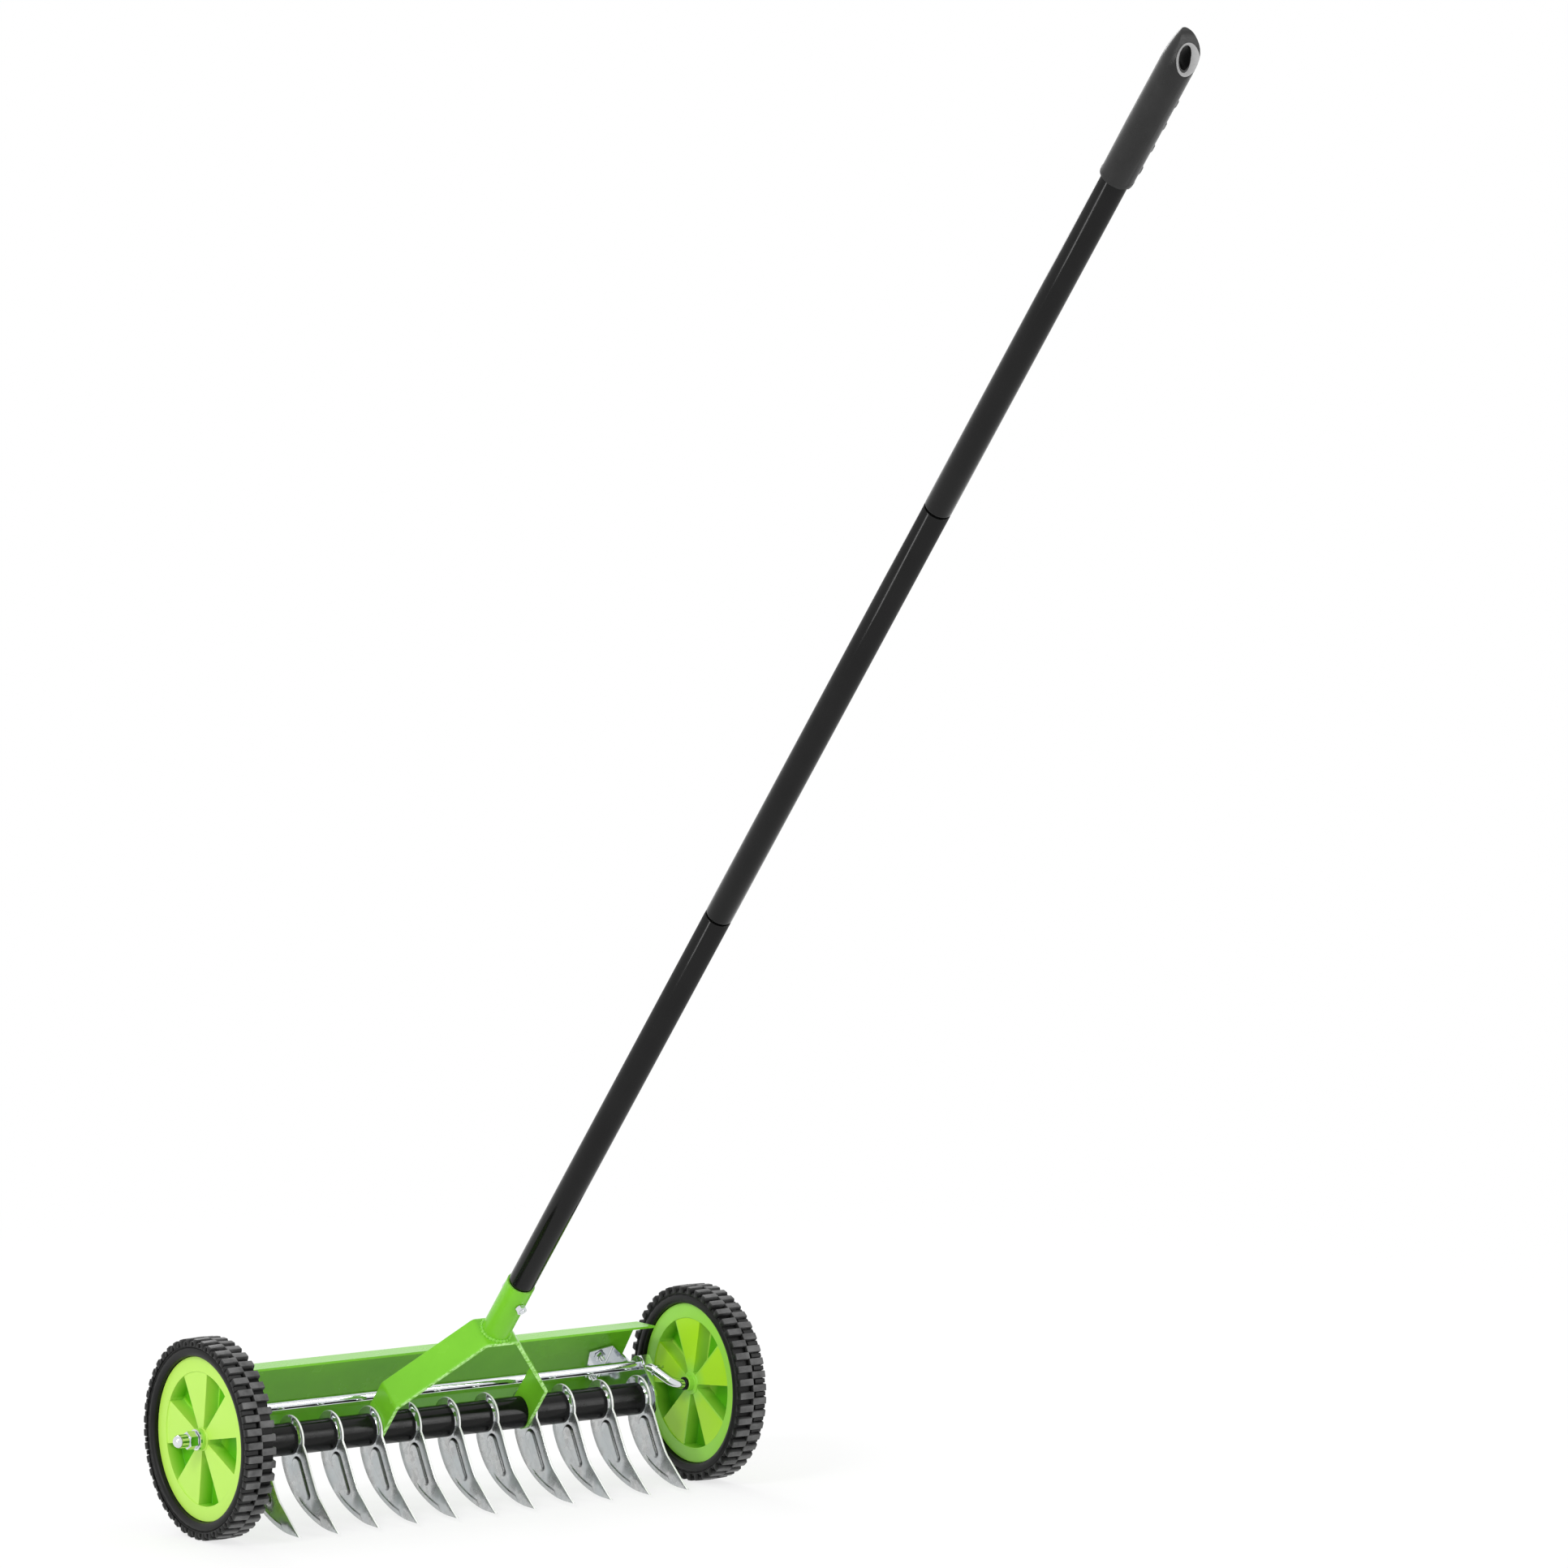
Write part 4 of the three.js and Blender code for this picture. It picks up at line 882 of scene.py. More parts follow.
shaft_radius = (shaft_high.z - shaft_low.z) / 2
shaft_end, thread_from = shaft_high.x, box_mm("shaft_nut_right")[0].x
shaft_profile = [
    (-shaft_end, 0), *thread(-shaft_end, -thread_from, shaft_radius, SHAFT_THREAD_PITCH),
    (-thread_from + 1, shaft_radius), (thread_from - 1, shaft_radius),
    *thread(thread_from, shaft_end, shaft_radius, SHAFT_THREAD_PITCH), (shaft_end, 0)]
make("shaft_rod", turned(shaft_profile, 40), AT_SHAFT, "zinc_steel", "frame", "tine_shaft",
     sharp_above=60)

nut_low, nut_high, _ = box_mm("shaft_nut_right")
nut_flats = (nut_high.y - nut_low.y) * math.cos(math.pi / 6)
make_pair("shaft_nut_zinc_{}", lambda: hex_body(nut_flats, nut_low.x, nut_high.x, TINE_BORE),
          AT_SHAFT, "zinc_steel", "frame", "shaft_nut_{}", sharp_above=25)
ring_low, ring_high, _ = box_mm("shaft_washer_right")
make_pair("shaft_washer_zinc_{}",
          lambda: washer(ring_low.x, ring_high.x, TINE_BORE, (ring_high.z - ring_low.z) / 2),
          AT_SHAFT, "zinc_steel", "frame", "shaft_washer_{}")

# %% [markdown]
# ## Hood
# The hood is one length of sheet, bent twice: a level top, a wide sloping face and a lip
# turned in below it. Its section is found by rounding the bends of one line and giving it
# the sheet's thickness on its outer side. Stretching that section along X gives true bends,
# which carry the long highlights that a painted sheet shows.

# %% Hood sheet
HOOD_THICKNESS, HOOD_BEND = 1.8, 3.0
HOOD_TOP_BACK, HOOD_TOP_FRONT, HOOD_TOP_HEIGHT = 5.0, 33.0, 57.2
FACE_ANGLE, FACE_WIDTH = 54.0, 60.0
LIP_TURN, LIP_WIDTH = 57.5, 16.0
face_down = direction(-FACE_ANGLE)
face_out = direction(90 - FACE_ANGLE)
hood_corner = Vector((HOOD_TOP_FRONT, HOOD_TOP_HEIGHT))


def on_face(down, out=0.0):
    """A place on the inner side of the sloping face, and this far out of it."""
    return hood_corner + face_down * down + face_out * out


def hood_sheet():
    lip_end = on_face(FACE_WIDTH) + direction(-FACE_ANGLE - LIP_TURN) * LIP_WIDTH
    corners = [(HOOD_TOP_BACK, HOOD_TOP_HEIGHT), hood_corner, on_face(FACE_WIDTH), lip_end]
    line, normals = bent_line(corners, HOOD_BEND)
    reach = box_mm("hood")[1].x
    section = line + shifted(line, normals, HOOD_THICKNESS)[::-1]
    return round_edges(slab(section, -reach, reach), SMALL_ROUND, above=50)


make("hood_sheet", hood_sheet(), AT_SHAFT, "green_paint", "frame", "hood", sharp_above=60)

# %% [markdown]
# ## Brackets
# A bracket at each end is bent from zinc-plated sheet. Its side plate holds the shaft and
# the wheel rod, its flange lies under the hood, and a small tab bent outwards stops the
# crank. The bend between plate and flange is a strip of its own here, turned through a
# quarter circle, because a mirror-like plate shows at once if a bend is missing.

# %% Bracket plate, flange and tab
PLATE_INNER, PLATE_OUTER = 195.0, 197.0
PLATE = PLATE_OUTER - PLATE_INNER
FLANGE_START, FLANGE_END, FLANGE_WIDTH = 22.0, 58.0, 24.0
FLANGE_TAPER, FLANGE_SLOPE, FLANGE_OVERLAP = 7.0, 5.0, 0.05
PLATE_BEND, PLATE_ROUND, TAB_ROUND = 3.0, 0.35, 0.3
SEAT_GAP = 0.3
TAB_REACH, TAB_WIDTH, TAB_TURN, TAB_BEND, TAB_FOOT = 8.0, 9.0, 140, 1.4, 4
ROD_CENTRE = Vector((ROD.y, ROD.z))
ROD_RADIUS = 4.0
LOBE_RADIUS, END_RADIUS = 8.0, 19.0
NECK = ROD_CENTRE + Vector((11.3, 0.7))
ON_FACE = (Matrix.Translation((0, hood_corner.x, hood_corner.y))
           @ Matrix.Rotation(-math.radians(FACE_ANGLE), 4, "X"))
LAID_FLAT = Matrix(((0, 1, 0, 0), (0, 0, 1, 0), (1, 0, 0, 0), (0, 0, 0, 1)))


def bracket():
    """Built in place round the shaft's centre, for the right end."""
    below = -SEAT_GAP - PLATE_BEND
    outline = [on_face(FLANGE_END, below), on_face(FLANGE_START, below), NECK,
               *arc(ROD_CENTRE, LOBE_RADIUS, 40, 165, 14), *arc((0, 0), END_RADIUS, 128, 310, 32)]
    holes = [circle(TINE_BORE, 32), circle(ROD_RADIUS + CLEARANCE, 32, ROD_CENTRE)]
    plate = round_edges(slab(outline, PLATE_INNER, PLATE_OUTER, holes), PLATE_ROUND, above=50)
    bend_centre = (PLATE_OUTER - PLATE_BEND, below)
    quarter = (arc(bend_centre, PLATE_BEND, 0, 90, 8)
               + arc(bend_centre, PLATE_BEND - PLATE, 90, 0, 8))
    bend = moved(slab(quarter, FLANGE_START, FLANGE_END), SWAP_X_Y)
    bend.transform(ON_FACE)
    edge, far = PLATE_OUTER - PLATE_BEND + FLANGE_OVERLAP, PLATE_OUTER - FLANGE_WIDTH
    shape = [(edge, FLANGE_START), (far, FLANGE_START + FLANGE_SLOPE),
             (far + FLANGE_TAPER, FLANGE_END), (edge, FLANGE_END)]
    flange = moved(slab(shape, -SEAT_GAP - PLATE, -SEAT_GAP), LAID_FLAT)
    round_edges(flange, PLATE_ROUND, above=50).transform(ON_FACE)
    middle, rise = PLATE_INNER + PLATE / 2, LOBE_RADIUS - PLATE / 2
    line, normals = bent_line([(middle, rise - TAB_FOOT), (middle, rise),
                               (PLATE_OUTER + TAB_REACH, rise)], TAB_BEND, 6)
    section = shifted(line, normals, PLATE / 2) + shifted(line, normals, -PLATE / 2)[::-1]
    tab = moved(slab(section, -TAB_WIDTH / 2, TAB_WIDTH / 2), SWAP_X_Y)
    tab.transform(Matrix.Translation((0, *ROD_CENTRE))
                  @ Matrix.Rotation(math.radians(TAB_TURN - 90), 4, "X"))
    return merged(plate, bend, flange, round_edges(tab, TAB_ROUND, above=50))


make_pair("bracket_plate_{}", bracket, AT_SHAFT, "zinc_steel", "frame", "bracket_{}",
          sharp_above=50)

# %% [markdown]
# ## Screws
# Four pan-head screws with a cross recess hold the hood to the brackets. The head is turned
# from a profile, then a tapered cross is cut into it. The same screw, with another length,
# keeps the lower tube in the handle socket.

# %% Screw and nut shapes
SCREW_RADIUS, SCREW_PITCH = 2.5, 0.8
THREAD_GAP, TIP_STEP = 0.5, 0.8
HEAD_RADIUS, HEAD_HEIGHT, HEAD_ROUNDNESS, HEAD_EDGE = 4.7, 2.6, 0.6, 0.2
RECESS_LENGTH, RECESS_WIDTH, RECESS_DEPTH = 5.2, 1.15, 1.7
RECESS_BOTTOM, RECESS_TOP = 0.55, 1.25
NUT_FLATS, NUT_HEIGHT = 8.0, 4.0


def cross_recess(top):
    """A cross that narrows as it goes down, standing on the Z axis."""
    bars = []
    for length, width in ((RECESS_LENGTH, RECESS_WIDTH), (RECESS_WIDTH, RECESS_LENGTH)):
        sections = []
        for z, share in ((top - RECESS_DEPTH, RECESS_BOTTOM), (top + OVERRUN, RECESS_TOP)):
            x, y = length / 2 * share, width / 2 * share
            sections.append([(x, y, z), (-x, y, z), (-x, -y, z), (x, -y, z)])
        bars.append(lofted(sections))
    return carved(*bars, "UNION")


def pan_head_screw(seat, tip):
    """A screw along Z: its head sits on the seat, and its thread ends at the tip."""
    head = [(seat + HEAD_HEIGHT * math.sin(a), HEAD_RADIUS * math.cos(a) ** HEAD_ROUNDNESS)
            for a in map(math.radians, (0, 15, 30, 45, 60, 75))]
    stem = thread(tip + THREAD_GAP, seat - THREAD_GAP, SCREW_RADIUS, SCREW_PITCH)
    profile = [(tip, 0), (tip, SCREW_RADIUS - TIP_STEP), *stem, (seat, SCREW_RADIUS),
               (seat, HEAD_RADIUS - HEAD_EDGE), *head, (seat + HEAD_HEIGHT, 0)]
    return carved(turned(profile, 48, "Z"), cross_recess(seat + HEAD_HEIGHT))


def screw_and_nut(screw, nut, seat, tip, nut_top, place, *nodes):
    """A screw with its nut further down, both along Z from the place."""
    make(screw, pan_head_screw(seat, tip), place, "zinc_steel", "frame", nodes[0], sharp_above=35)
    body = hex_body(NUT_FLATS, nut_top - NUT_HEIGHT, nut_top, SCREW_RADIUS + CLEARANCE)
    make(nut, moved(body, TO_Z), place, "zinc_steel", "frame", nodes[1], sharp_above=25)


# %% Screws and nuts on the hood
HOOD_SCREW_LENGTH = 13.0
SCREW_SEAT = HOOD_THICKNESS + SEAT_GAP
HEAD_TURNS = {"upper": 20, "lower": 65}

for side in SIDES:
    for row, turn in HEAD_TURNS.items():
        spot = box_mm(f"hood_screw_{side}_{row}")[2] - SHAFT
        down = (Vector((spot.y, spot.z)) - hood_corner).dot(face_down)
        put = AT_SHAFT @ ON_FACE @ Matrix.Translation((spot.x, down, 0))
        screw_and_nut(f"screw_{side}_{row}", f"nut_{side}_{row}", SCREW_SEAT,
                      SCREW_SEAT - HOOD_SCREW_LENGTH, -2 * SEAT_GAP - PLATE,
                      put @ Matrix.Rotation(math.radians(turn), 4, "Z"),
                      f"hood_screw_{side}_{row}", f"hood_nut_{side}_{row}")

# %% [markdown]
# ## Crank axle
# One bright rod runs through both brackets. Its ends are cranked down to the wheels, so the
# tines dig in or lift when it swings. Its route has only six corners. A Geometry Nodes tree
# rounds each corner and sweeps a circle along the line, which keeps the bends true when the
# rod's size is changed.

# %% Rod with its bends
ROD_BEND, FIRST_BEND, SECOND_BEND = 12.0, 8.4, 19.8
ARM_START = Vector((PLATE_OUTER + FIRST_BEND, ROD.y, ROD.z))
ARM_END = Vector((PLATE_OUTER + SECOND_BEND, WHEEL.y, WHEEL.z))
rod_end = Vector((box_mm("crank_axle")[1].x, WHEEL.y, WHEEL.z))
half_route = [ARM_START, ARM_END, rod_end]
route = [MIRROR @ corner for corner in half_route[::-1]] + half_route
curve = bpy.data.curves.new("rod_route", "CURVE")
curve.dimensions = "3D"
spline = curve.splines.new("POLY")
spline.points.add(len(route) - 1)
for point, corner in zip(spline.points, route):
    point.co = (*((corner + SHAFT) * MM), 1)
rod_route = linked("rod_route", curve)
rod_mesh = tree_mesh(rod_route, rod_tree, Radius=ROD_RADIUS * MM, Bend=ROD_BEND * MM,
                     Material=finishes["zinc_steel"])
bpy.data.objects.remove(rod_route)
shaded(rod_mesh, 40)
settle(linked("crank_rod", rod_mesh), "crank", "zinc_steel", "crank_axle")

# %% [markdown]
# ## Split pins
# A split pin goes through each cranked arm. It is wire folded double: an eye at the head,
# two legs through the hole, and tips spread a little so that it can't fall out. A thin
# collar on the rod lies beside it.

# %% Split pin
PIN_LENGTH, PIN_WIRE, PIN_TIP, PIN_EYE = 15.0, 0.42, 2, 1.2
LEG_GAP, TIP_GAP, PIN_ABOVE, EYE_RISE = 0.4, 0.75, 0.6, 0.9
PIN_SHARE = 0.32
COLLAR_RADIUS, COLLAR_LENGTH = 5.1, 1.4


def wire(points, radius, sides=10):
    """A round wire through a list of points, closed at both ends."""
    points = [Vector(p) for p in points]
    sections = []
    for here, along in zip(points, headings(points)):
        side = along.cross(Vector((1, 0, 0))).normalized()
        up = side.cross(along)
        sections.append([here + side * math.cos(a) * radius + up * math.sin(a) * radius
                         for a in (WHOLE_TURN * k / sides for k in range(sides))])
    return lofted(sections)


def split_pin():
    """Along Z, with the eye at the top and the legs down, and a thin collar on the rod."""
    top = ROD_RADIUS + PIN_ABOVE
    tip = top - PIN_LENGTH
    legs = [wire([(0, way * gap, z) for gap, z in ((LEG_GAP, top), (LEG_GAP, tip + PIN_TIP),
                                                   (TIP_GAP, tip))], PIN_WIRE) for way in (1, -1)]
    eye = [(0, PIN_EYE * math.sin(a), top + PIN_EYE * EYE_RISE - PIN_EYE * math.cos(a))
           for a in map(math.radians, range(20, 341, 16))]
    collar = washer(-COLLAR_LENGTH / 2, COLLAR_LENGTH / 2, ROD_RADIUS + CLEARANCE, COLLAR_RADIUS)
    collar.transform(pin_place.inverted() @ collar_place)
    return merged(*legs, wire(eye, PIN_WIRE), collar)


arm = (ARM_END - ARM_START).normalized()
across_arm = -(Vector((1, 0, 0)) - arm * arm.x).normalized()
pin_spot = AT_SHAFT @ Matrix.Translation(ARM_START.lerp(ARM_END, PIN_SHARE))
pin_place = pin_spot @ across_arm.to_track_quat("Z", "Y").to_matrix().to_4x4()
collar_place = pin_spot @ arm.to_track_quat("X", "Z").to_matrix().to_4x4()
make_pair("pin_{}", split_pin, pin_place, "zinc_steel", "crank", "split_pin_{}", even=False)

# %% [markdown]
# ## Washers and cap nuts
# Each wheel runs between two washers, a dark one inside and a bright one outside, and a tall
# domed nut closes the axle end. The nut is a hexagon with turned-off corners, a plain barrel
# and a dome, all bright plated.

# %% Axle end
for name, slot in (("inner", "black_plastic"), ("outer", "zinc_steel")):
    low, high, _ = box_mm(f"{name}_washer_right")
    make_pair(name + "_washer_ring_{}",
              lambda: washer(low.x, high.x, ROD_RADIUS + LOOSE_FIT, (high.z - low.z) / 2),
              AT_WHEEL, slot, "crank", name + "_washer_{}")

CAP_FLATS, CAP_HEX, CAP_BARREL, CAP_RADIUS = 13.0, 8.0, 6.5, 5.6
CAP_OVERLAP, CAP_COLLAR = 3, 0.6
cap_start = box_mm("cap_nut_right")[0].x


def cap_nut():
    hexagon_end = cap_start + CAP_HEX
    barrel_end = hexagon_end + CAP_BARREL
    dome = [(barrel_end + CAP_RADIUS * math.sin(a), CAP_RADIUS * math.cos(a))
            for a in map(math.radians, range(0, 85, 9))]
    profile = [(hexagon_end - CAP_OVERLAP, 0), (hexagon_end - CAP_OVERLAP, CAP_RADIUS),
               (hexagon_end + CAP_COLLAR, CAP_RADIUS), *dome, (barrel_end + CAP_RADIUS, 0)]
    return merged(hex_body(CAP_FLATS, cap_start, hexagon_end), turned(profile, 56))


make_pair("cap_nut_chrome_{}", cap_nut, AT_WHEEL, "zinc_steel", "crank", "cap_nut_{}",
          sharp_above=30)

# %% [markdown]
# ## Wheel rims
# The rim is one moulding: a flat ring, a hub, and a thin web in ten sectors that lies by
# turns near the outer and near the inner face. So each face shows five pockets. Both faces
# are drawn as a polar grid whose cells lie at one of three levels, and a wall goes wherever
# two neighbours differ. Three marks say where the finish paints light: the thin web is
# painted brighter as light shining through it, the pockets darker as painted shade, and the
# outer face paler as a painted sheen. Each wheel stands at its own turn.

# %% Rim from a polar grid
RIM_RADIUS, RIM_HALF = 67.2, 8.0
RING_INNER = 54.8
WEB, WEB_STEP = 2.5, 0.9
HUB_RADIUS, POCKET_HUB, HUB_INNER_RADIUS = 9.0, 9.8, 6.6
HUB_IN, HUB_OUT = 13.0, 11.5
HUB_BORE = ROD_RADIUS + CLEARANCE
RIM_PHASES = {"left": 187.4, "right": 228.0}
SECTORS, SECTOR_STEPS = 5, 9
SECTOR = 180 / SECTORS
RIM_ROWS = [HUB_RADIUS, POCKET_HUB, 22, 34, 45, RING_INNER, RING_INNER + 0.4, RIM_RADIUS]
WEB_ROWS = range(1, 5)


def rim(phase):
    """The right-hand rim. The phase is the angle of the middle of a pocket in the outer face.

    A column of the grid is the start of its sector, its share of it and the sector's number.
    """
    bm = bmesh.new()
    # Marks for painted light: a glow on the web, a sheen on the outer face, shade in the pockets.
    thin, pocket_painted_shade, outside = new_marks(bm, "thin", "pocket_painted_shade", "outside")
    columns = [(phase - SECTOR / 2 + number * SECTOR, i / SECTOR_STEPS, number)
               for number in range(2 * SECTORS) for i in range(SECTOR_STEPS + 1)]
    total, last = len(columns), len(RIM_ROWS) - 1
    known = {}

    def place(radius, column):
        """A wall has the same thickness all along, so its sides aren't quite radial."""
        start, share, _ = columns[column % total]
        lean = math.degrees(math.asin(WEB / 2 / radius))
        angle = math.radians(start + lean + share * (SECTOR - 2 * lean))
        return radius * math.cos(angle), radius * math.sin(angle)

    def vert(level, row, column, flags=(0, 0)):
        key = (round(level, 3), row, column % total)
        if key not in known:
            known[key] = bm.verts.new((WHEEL_MIDDLE + level, *place(RIM_ROWS[row], column)))
            known[key][thin], known[key][pocket_painted_shade] = flags
            # The outer face gets a paler colour: a painted sheen.
            known[key][outside] = float(level > 0)
        return known[key]

    def cell_level(side, row, column):
        """The level of a cell's face, from the wheel's middle, on the outer or inner side."""
        if row not in WEB_ROWS:
            return side * RIM_HALF
        number = columns[column % total][2]
        in_sector = number == columns[(column + 1) % total][2]
        if in_sector and (number % 2 == 0) == (side > 0):
            return -side * (RIM_HALF - WEB)
        return side * (RIM_HALF - WEB_STEP)

    for side in (1, -1):
        for column in range(total):
            for row in range(last):
                level = cell_level(side, row, column)
                # The pocket floors are marked for a darker colour: painted shade.
                flags = (float(row in WEB_ROWS), float(level * side < 0))
                up, on = row + 1, column + 1
                bm.faces.new([vert(level, r, c, flags)
                              for r, c in ((row, column), (up, column), (up, on), (row, on))])
                above, beside = cell_level(side, up, column), cell_level(side, row, on)
                if up < last and above != level:
                    bm.faces.new([vert(level, up, column), vert(above, up, column),
                                  vert(above, up, on), vert(level, up, on)])
                if beside != level:
                    bm.faces.new([vert(level, row, on), vert(level, up, on),
                                  vert(beside, up, on), vert(beside, row, on)])
    rings = [[vert(RIM_HALF, 0, c) for c in range(total)]]
    for level, radius in ((HUB_OUT, HUB_RADIUS), (HUB_OUT, HUB_BORE), (-HUB_IN, HUB_BORE),
                          (-HUB_IN, HUB_INNER_RADIUS), (-RIM_HALF, HUB_INNER_RADIUS)):
        spots = (place(HUB_RADIUS, c) for c in range(total))
        rings.append([bm.verts.new((WHEEL_MIDDLE + level, y * radius / HUB_RADIUS,
                                    z * radius / HUB_RADIUS)) for y, z in spots])
    bridged(bm, rings + [[vert(-RIM_HALF, 0, c) for c in range(total)]])
    bridged(bm, [[vert(level, last, c) for c in range(total)] for level in (RIM_HALF, -RIM_HALF)])
    bmesh.ops.remove_doubles(bm, verts=bm.verts, dist=0.001)
    bmesh.ops.recalc_face_normals(bm, faces=bm.faces)
    return round_edges(bm, SMALL_ROUND, above=40)


for side in SIDES:
    make(f"rim_{side}", rim(RIM_PHASES[side]), on_side(side, AT_WHEEL), "lime_plastic",
         f"wheel_{side}", f"wheel_rim_{side}", sharp_above=50)

# %% [markdown]
# ## Tyres
# The carcass is turned from a profile with a bulged bead, a fine groove and a shoulder. Its
# lugs stand in two rows, half a step apart, and each wraps over the shoulder a little. Low
# bars fill the gaps between the outer lugs. One lug and one bar are shaped, and the ring
# tree sets them all round. The tops of the lugs are painted a lighter grey, partly as wear
# and partly as a painted highlight.

# %% Carcass
TYRE_RADIUS, LUG_COUNT = 82.5, 46
SIDEWALL = [(10.4, 67.5), (12.0, 68.3), (13.0, 70.2), (13.2, 72.4), (12.6, 74.2), (12.0, 74.9),
            (12.0, 75.3), (12.5, 75.8), (12.7, 77.2), (12.2, 78.3)]


def carcass():
    half = smooth_through(SIDEWALL, 3)
    profile = [(p.x, p.y) for p in half] + [(-p.x, p.y) for p in half[::-1]]
    profile = [(WHEEL_MIDDLE + along, radius) for along, radius in profile]
    return turned(profile + [profile[0]], 3 * LUG_COUNT)


# %% Lugs
LUG_WIDTH, LUG_START, LUG_END = 5.6, -0.4, 13.4
BAR_WIDTH, BAR_START, BAR_END, BAR_DROP, BAR_LIGHTENED_TOP = 3.6, 3.0, 13.9, 2.1, 0.15
LUG_WRAP, LUG_ROOT, LUG_FLARE = 75.9, 76.5, 0.3
# Each section of a lug: distance in from its start or end, drop below its top, and its root.
LUG_INNER = [(0, 0.4, LUG_ROOT), (0.5, 0, LUG_ROOT)]
LUG_OUTER = [(-0.6, 0.4, LUG_ROOT), (0, 2.3, LUG_WRAP)]
LIGHTENED_DEPTH, LIGHTENED_FADE = 1.1, 0.7


def lug(width=LUG_WIDTH, start=LUG_START, end=LUG_END, top=TYRE_RADIUS, lightened_top=1.0):
    """One block of the tread, standing up along Z from the wheel's middle."""
    half, root = width / 2, width / 2 + LUG_FLARE
    sections = []
    for place, stations in ((start, LUG_INNER), (end, LUG_OUTER)):
        for step, drop, low in stations:
            x, high = place + step, top - drop
            sections.append([(x, -root, low), (x, root, low), (x, half, high), (x, -half, high)])
    block = round_edges(lofted(sections), SMALL_ROUND, above=50)
    # The lug tops are painted a lighter grey, partly as wear and partly as a painted highlight.
    wear_and_painted_highlight, = new_marks(block, "wear_and_painted_highlight")
    for vert in block.verts:
        vert[wear_and_painted_highlight] = lightened_top * smooth_step((vert.co.z - top + LIGHTENED_DEPTH) / LIGHTENED_FADE)
    return block


def bar():
    return lug(BAR_WIDTH, BAR_START, BAR_END, TYRE_RADIUS - BAR_DROP, BAR_LIGHTENED_TOP)


for side, outward in (("left", -1), ("right", 1)):
    body, node = f"wheel_{side}", f"tyre_{side}"
    make(f"{node}_carcass", carcass(), on_side(side, AT_WHEEL), "tyre_rubber", body, node,
         sharp_above=60)
    centre = (AT_WHEEL @ Vector((outward * WHEEL_MIDDLE, 0, 0))) * MM
    for row, build, way, phase in (("outer", lug, outward, 0.0),
                                   ("inner", lug, -outward, math.pi / LUG_COUNT),
                                   ("bar", bar, outward, math.pi / LUG_COUNT)):
        repeat(f"{node}_{row}_blocks", build(), ring_tree, body, "tyre_rubber", node,
               sharp_above=30, turn=STAY if way > 0 else Matrix.Rotation(math.pi, 4, "Z"),
               Count=LUG_COUNT, Phase=phase, Centre=centre)

# %% [markdown]
# ## Yoke, socket and weld
# The yoke is a single strip bent over the shaft like a roof. Its flat ends are rounded round
# the shaft. It is drawn as it is made: a line down the strip is bent first, and the strip's
# width is then laid across it, narrowing in a half circle at both ends. The socket is a
# short tube, and its weld is a ring of small beads, laid one after the other.

# %% Strip bent along a line
YOKE_THICKNESS, YOKE_HALF_WIDTH, YOKE_BEND = 3.0, 14.2, 3.0
YOKE_EAR, YOKE_EAR_HEIGHT = 71.7, 41.0
YOKE_TOP, YOKE_TOP_HALF = 112.3, 14.0
YOKE_ACROSS = [-1, -0.98, -0.6, -0.2, 0.2, 0.6, 0.98, 1]
NARROWEST, YOKE_ROUND = 0.04, 0.4


def yoke_strip():
    under = YOKE_TOP - YOKE_THICKNESS
    half_line = [(YOKE_TOP_HALF, under), (YOKE_EAR, YOKE_EAR_HEIGHT), (YOKE_EAR, -YOKE_HALF_WIDTH)]
    points, normals = bent_line([(-x, y) for x, y in half_line[::-1]] + half_line, YOKE_BEND)
    rounding = [Vector((0, YOKE_HALF_WIDTH * (1 - math.cos(math.radians(a)))))
                for a in range(0, 91, 9)]
    ends = len(rounding)
    line = ([points[0] + step for step in rounding] + points[1:-1]
            + [points[-1] + step for step in rounding[::-1]])
    normals = [normals[0]] * ends + normals[1:-1] + [normals[-1]] * ends
    bm = bmesh.new()
    grid = {}
    for i, (point, normal) in enumerate(zip(line, normals)):
        half = math.sqrt(max(YOKE_HALF_WIDTH ** 2 - min(point.y, 0) ** 2, NARROWEST))
        for level in (0, 1):
            place = point + normal * YOKE_THICKNESS * level
            for k, share in enumerate(YOKE_ACROSS):
                grid[i, level, k] = bm.verts.new((place.x, half * share, place.y))
    last, wide = len(line) - 1, len(YOKE_ACROSS) - 1
    for i in range(last):
        j = i + 1
        for a, k in [(level, k) for level in (0, 1) for k in range(wide)]:
            bm.faces.new((grid[i, a, k], grid[j, a, k], grid[j, a, k + 1], grid[i, a, k + 1]))
        for k in (0, wide):
            bm.faces.new((grid[i, 0, k], grid[j, 0, k], grid[j, 1, k], grid[i, 1, k]))
    for i in (0, last):
        for k in range(wide):
            bm.faces.new((grid[i, 0, k], grid[i, 1, k], grid[i, 1, k + 1], grid[i, 0, k + 1]))
    bmesh.ops.recalc_face_normals(bm, faces=bm.faces)
    return round_edges(bm, YOKE_ROUND, above=50)


make("yoke_strip", yoke_strip(), ON_HANDLE, "green_paint", "frame", "yoke", sharp_above=50)

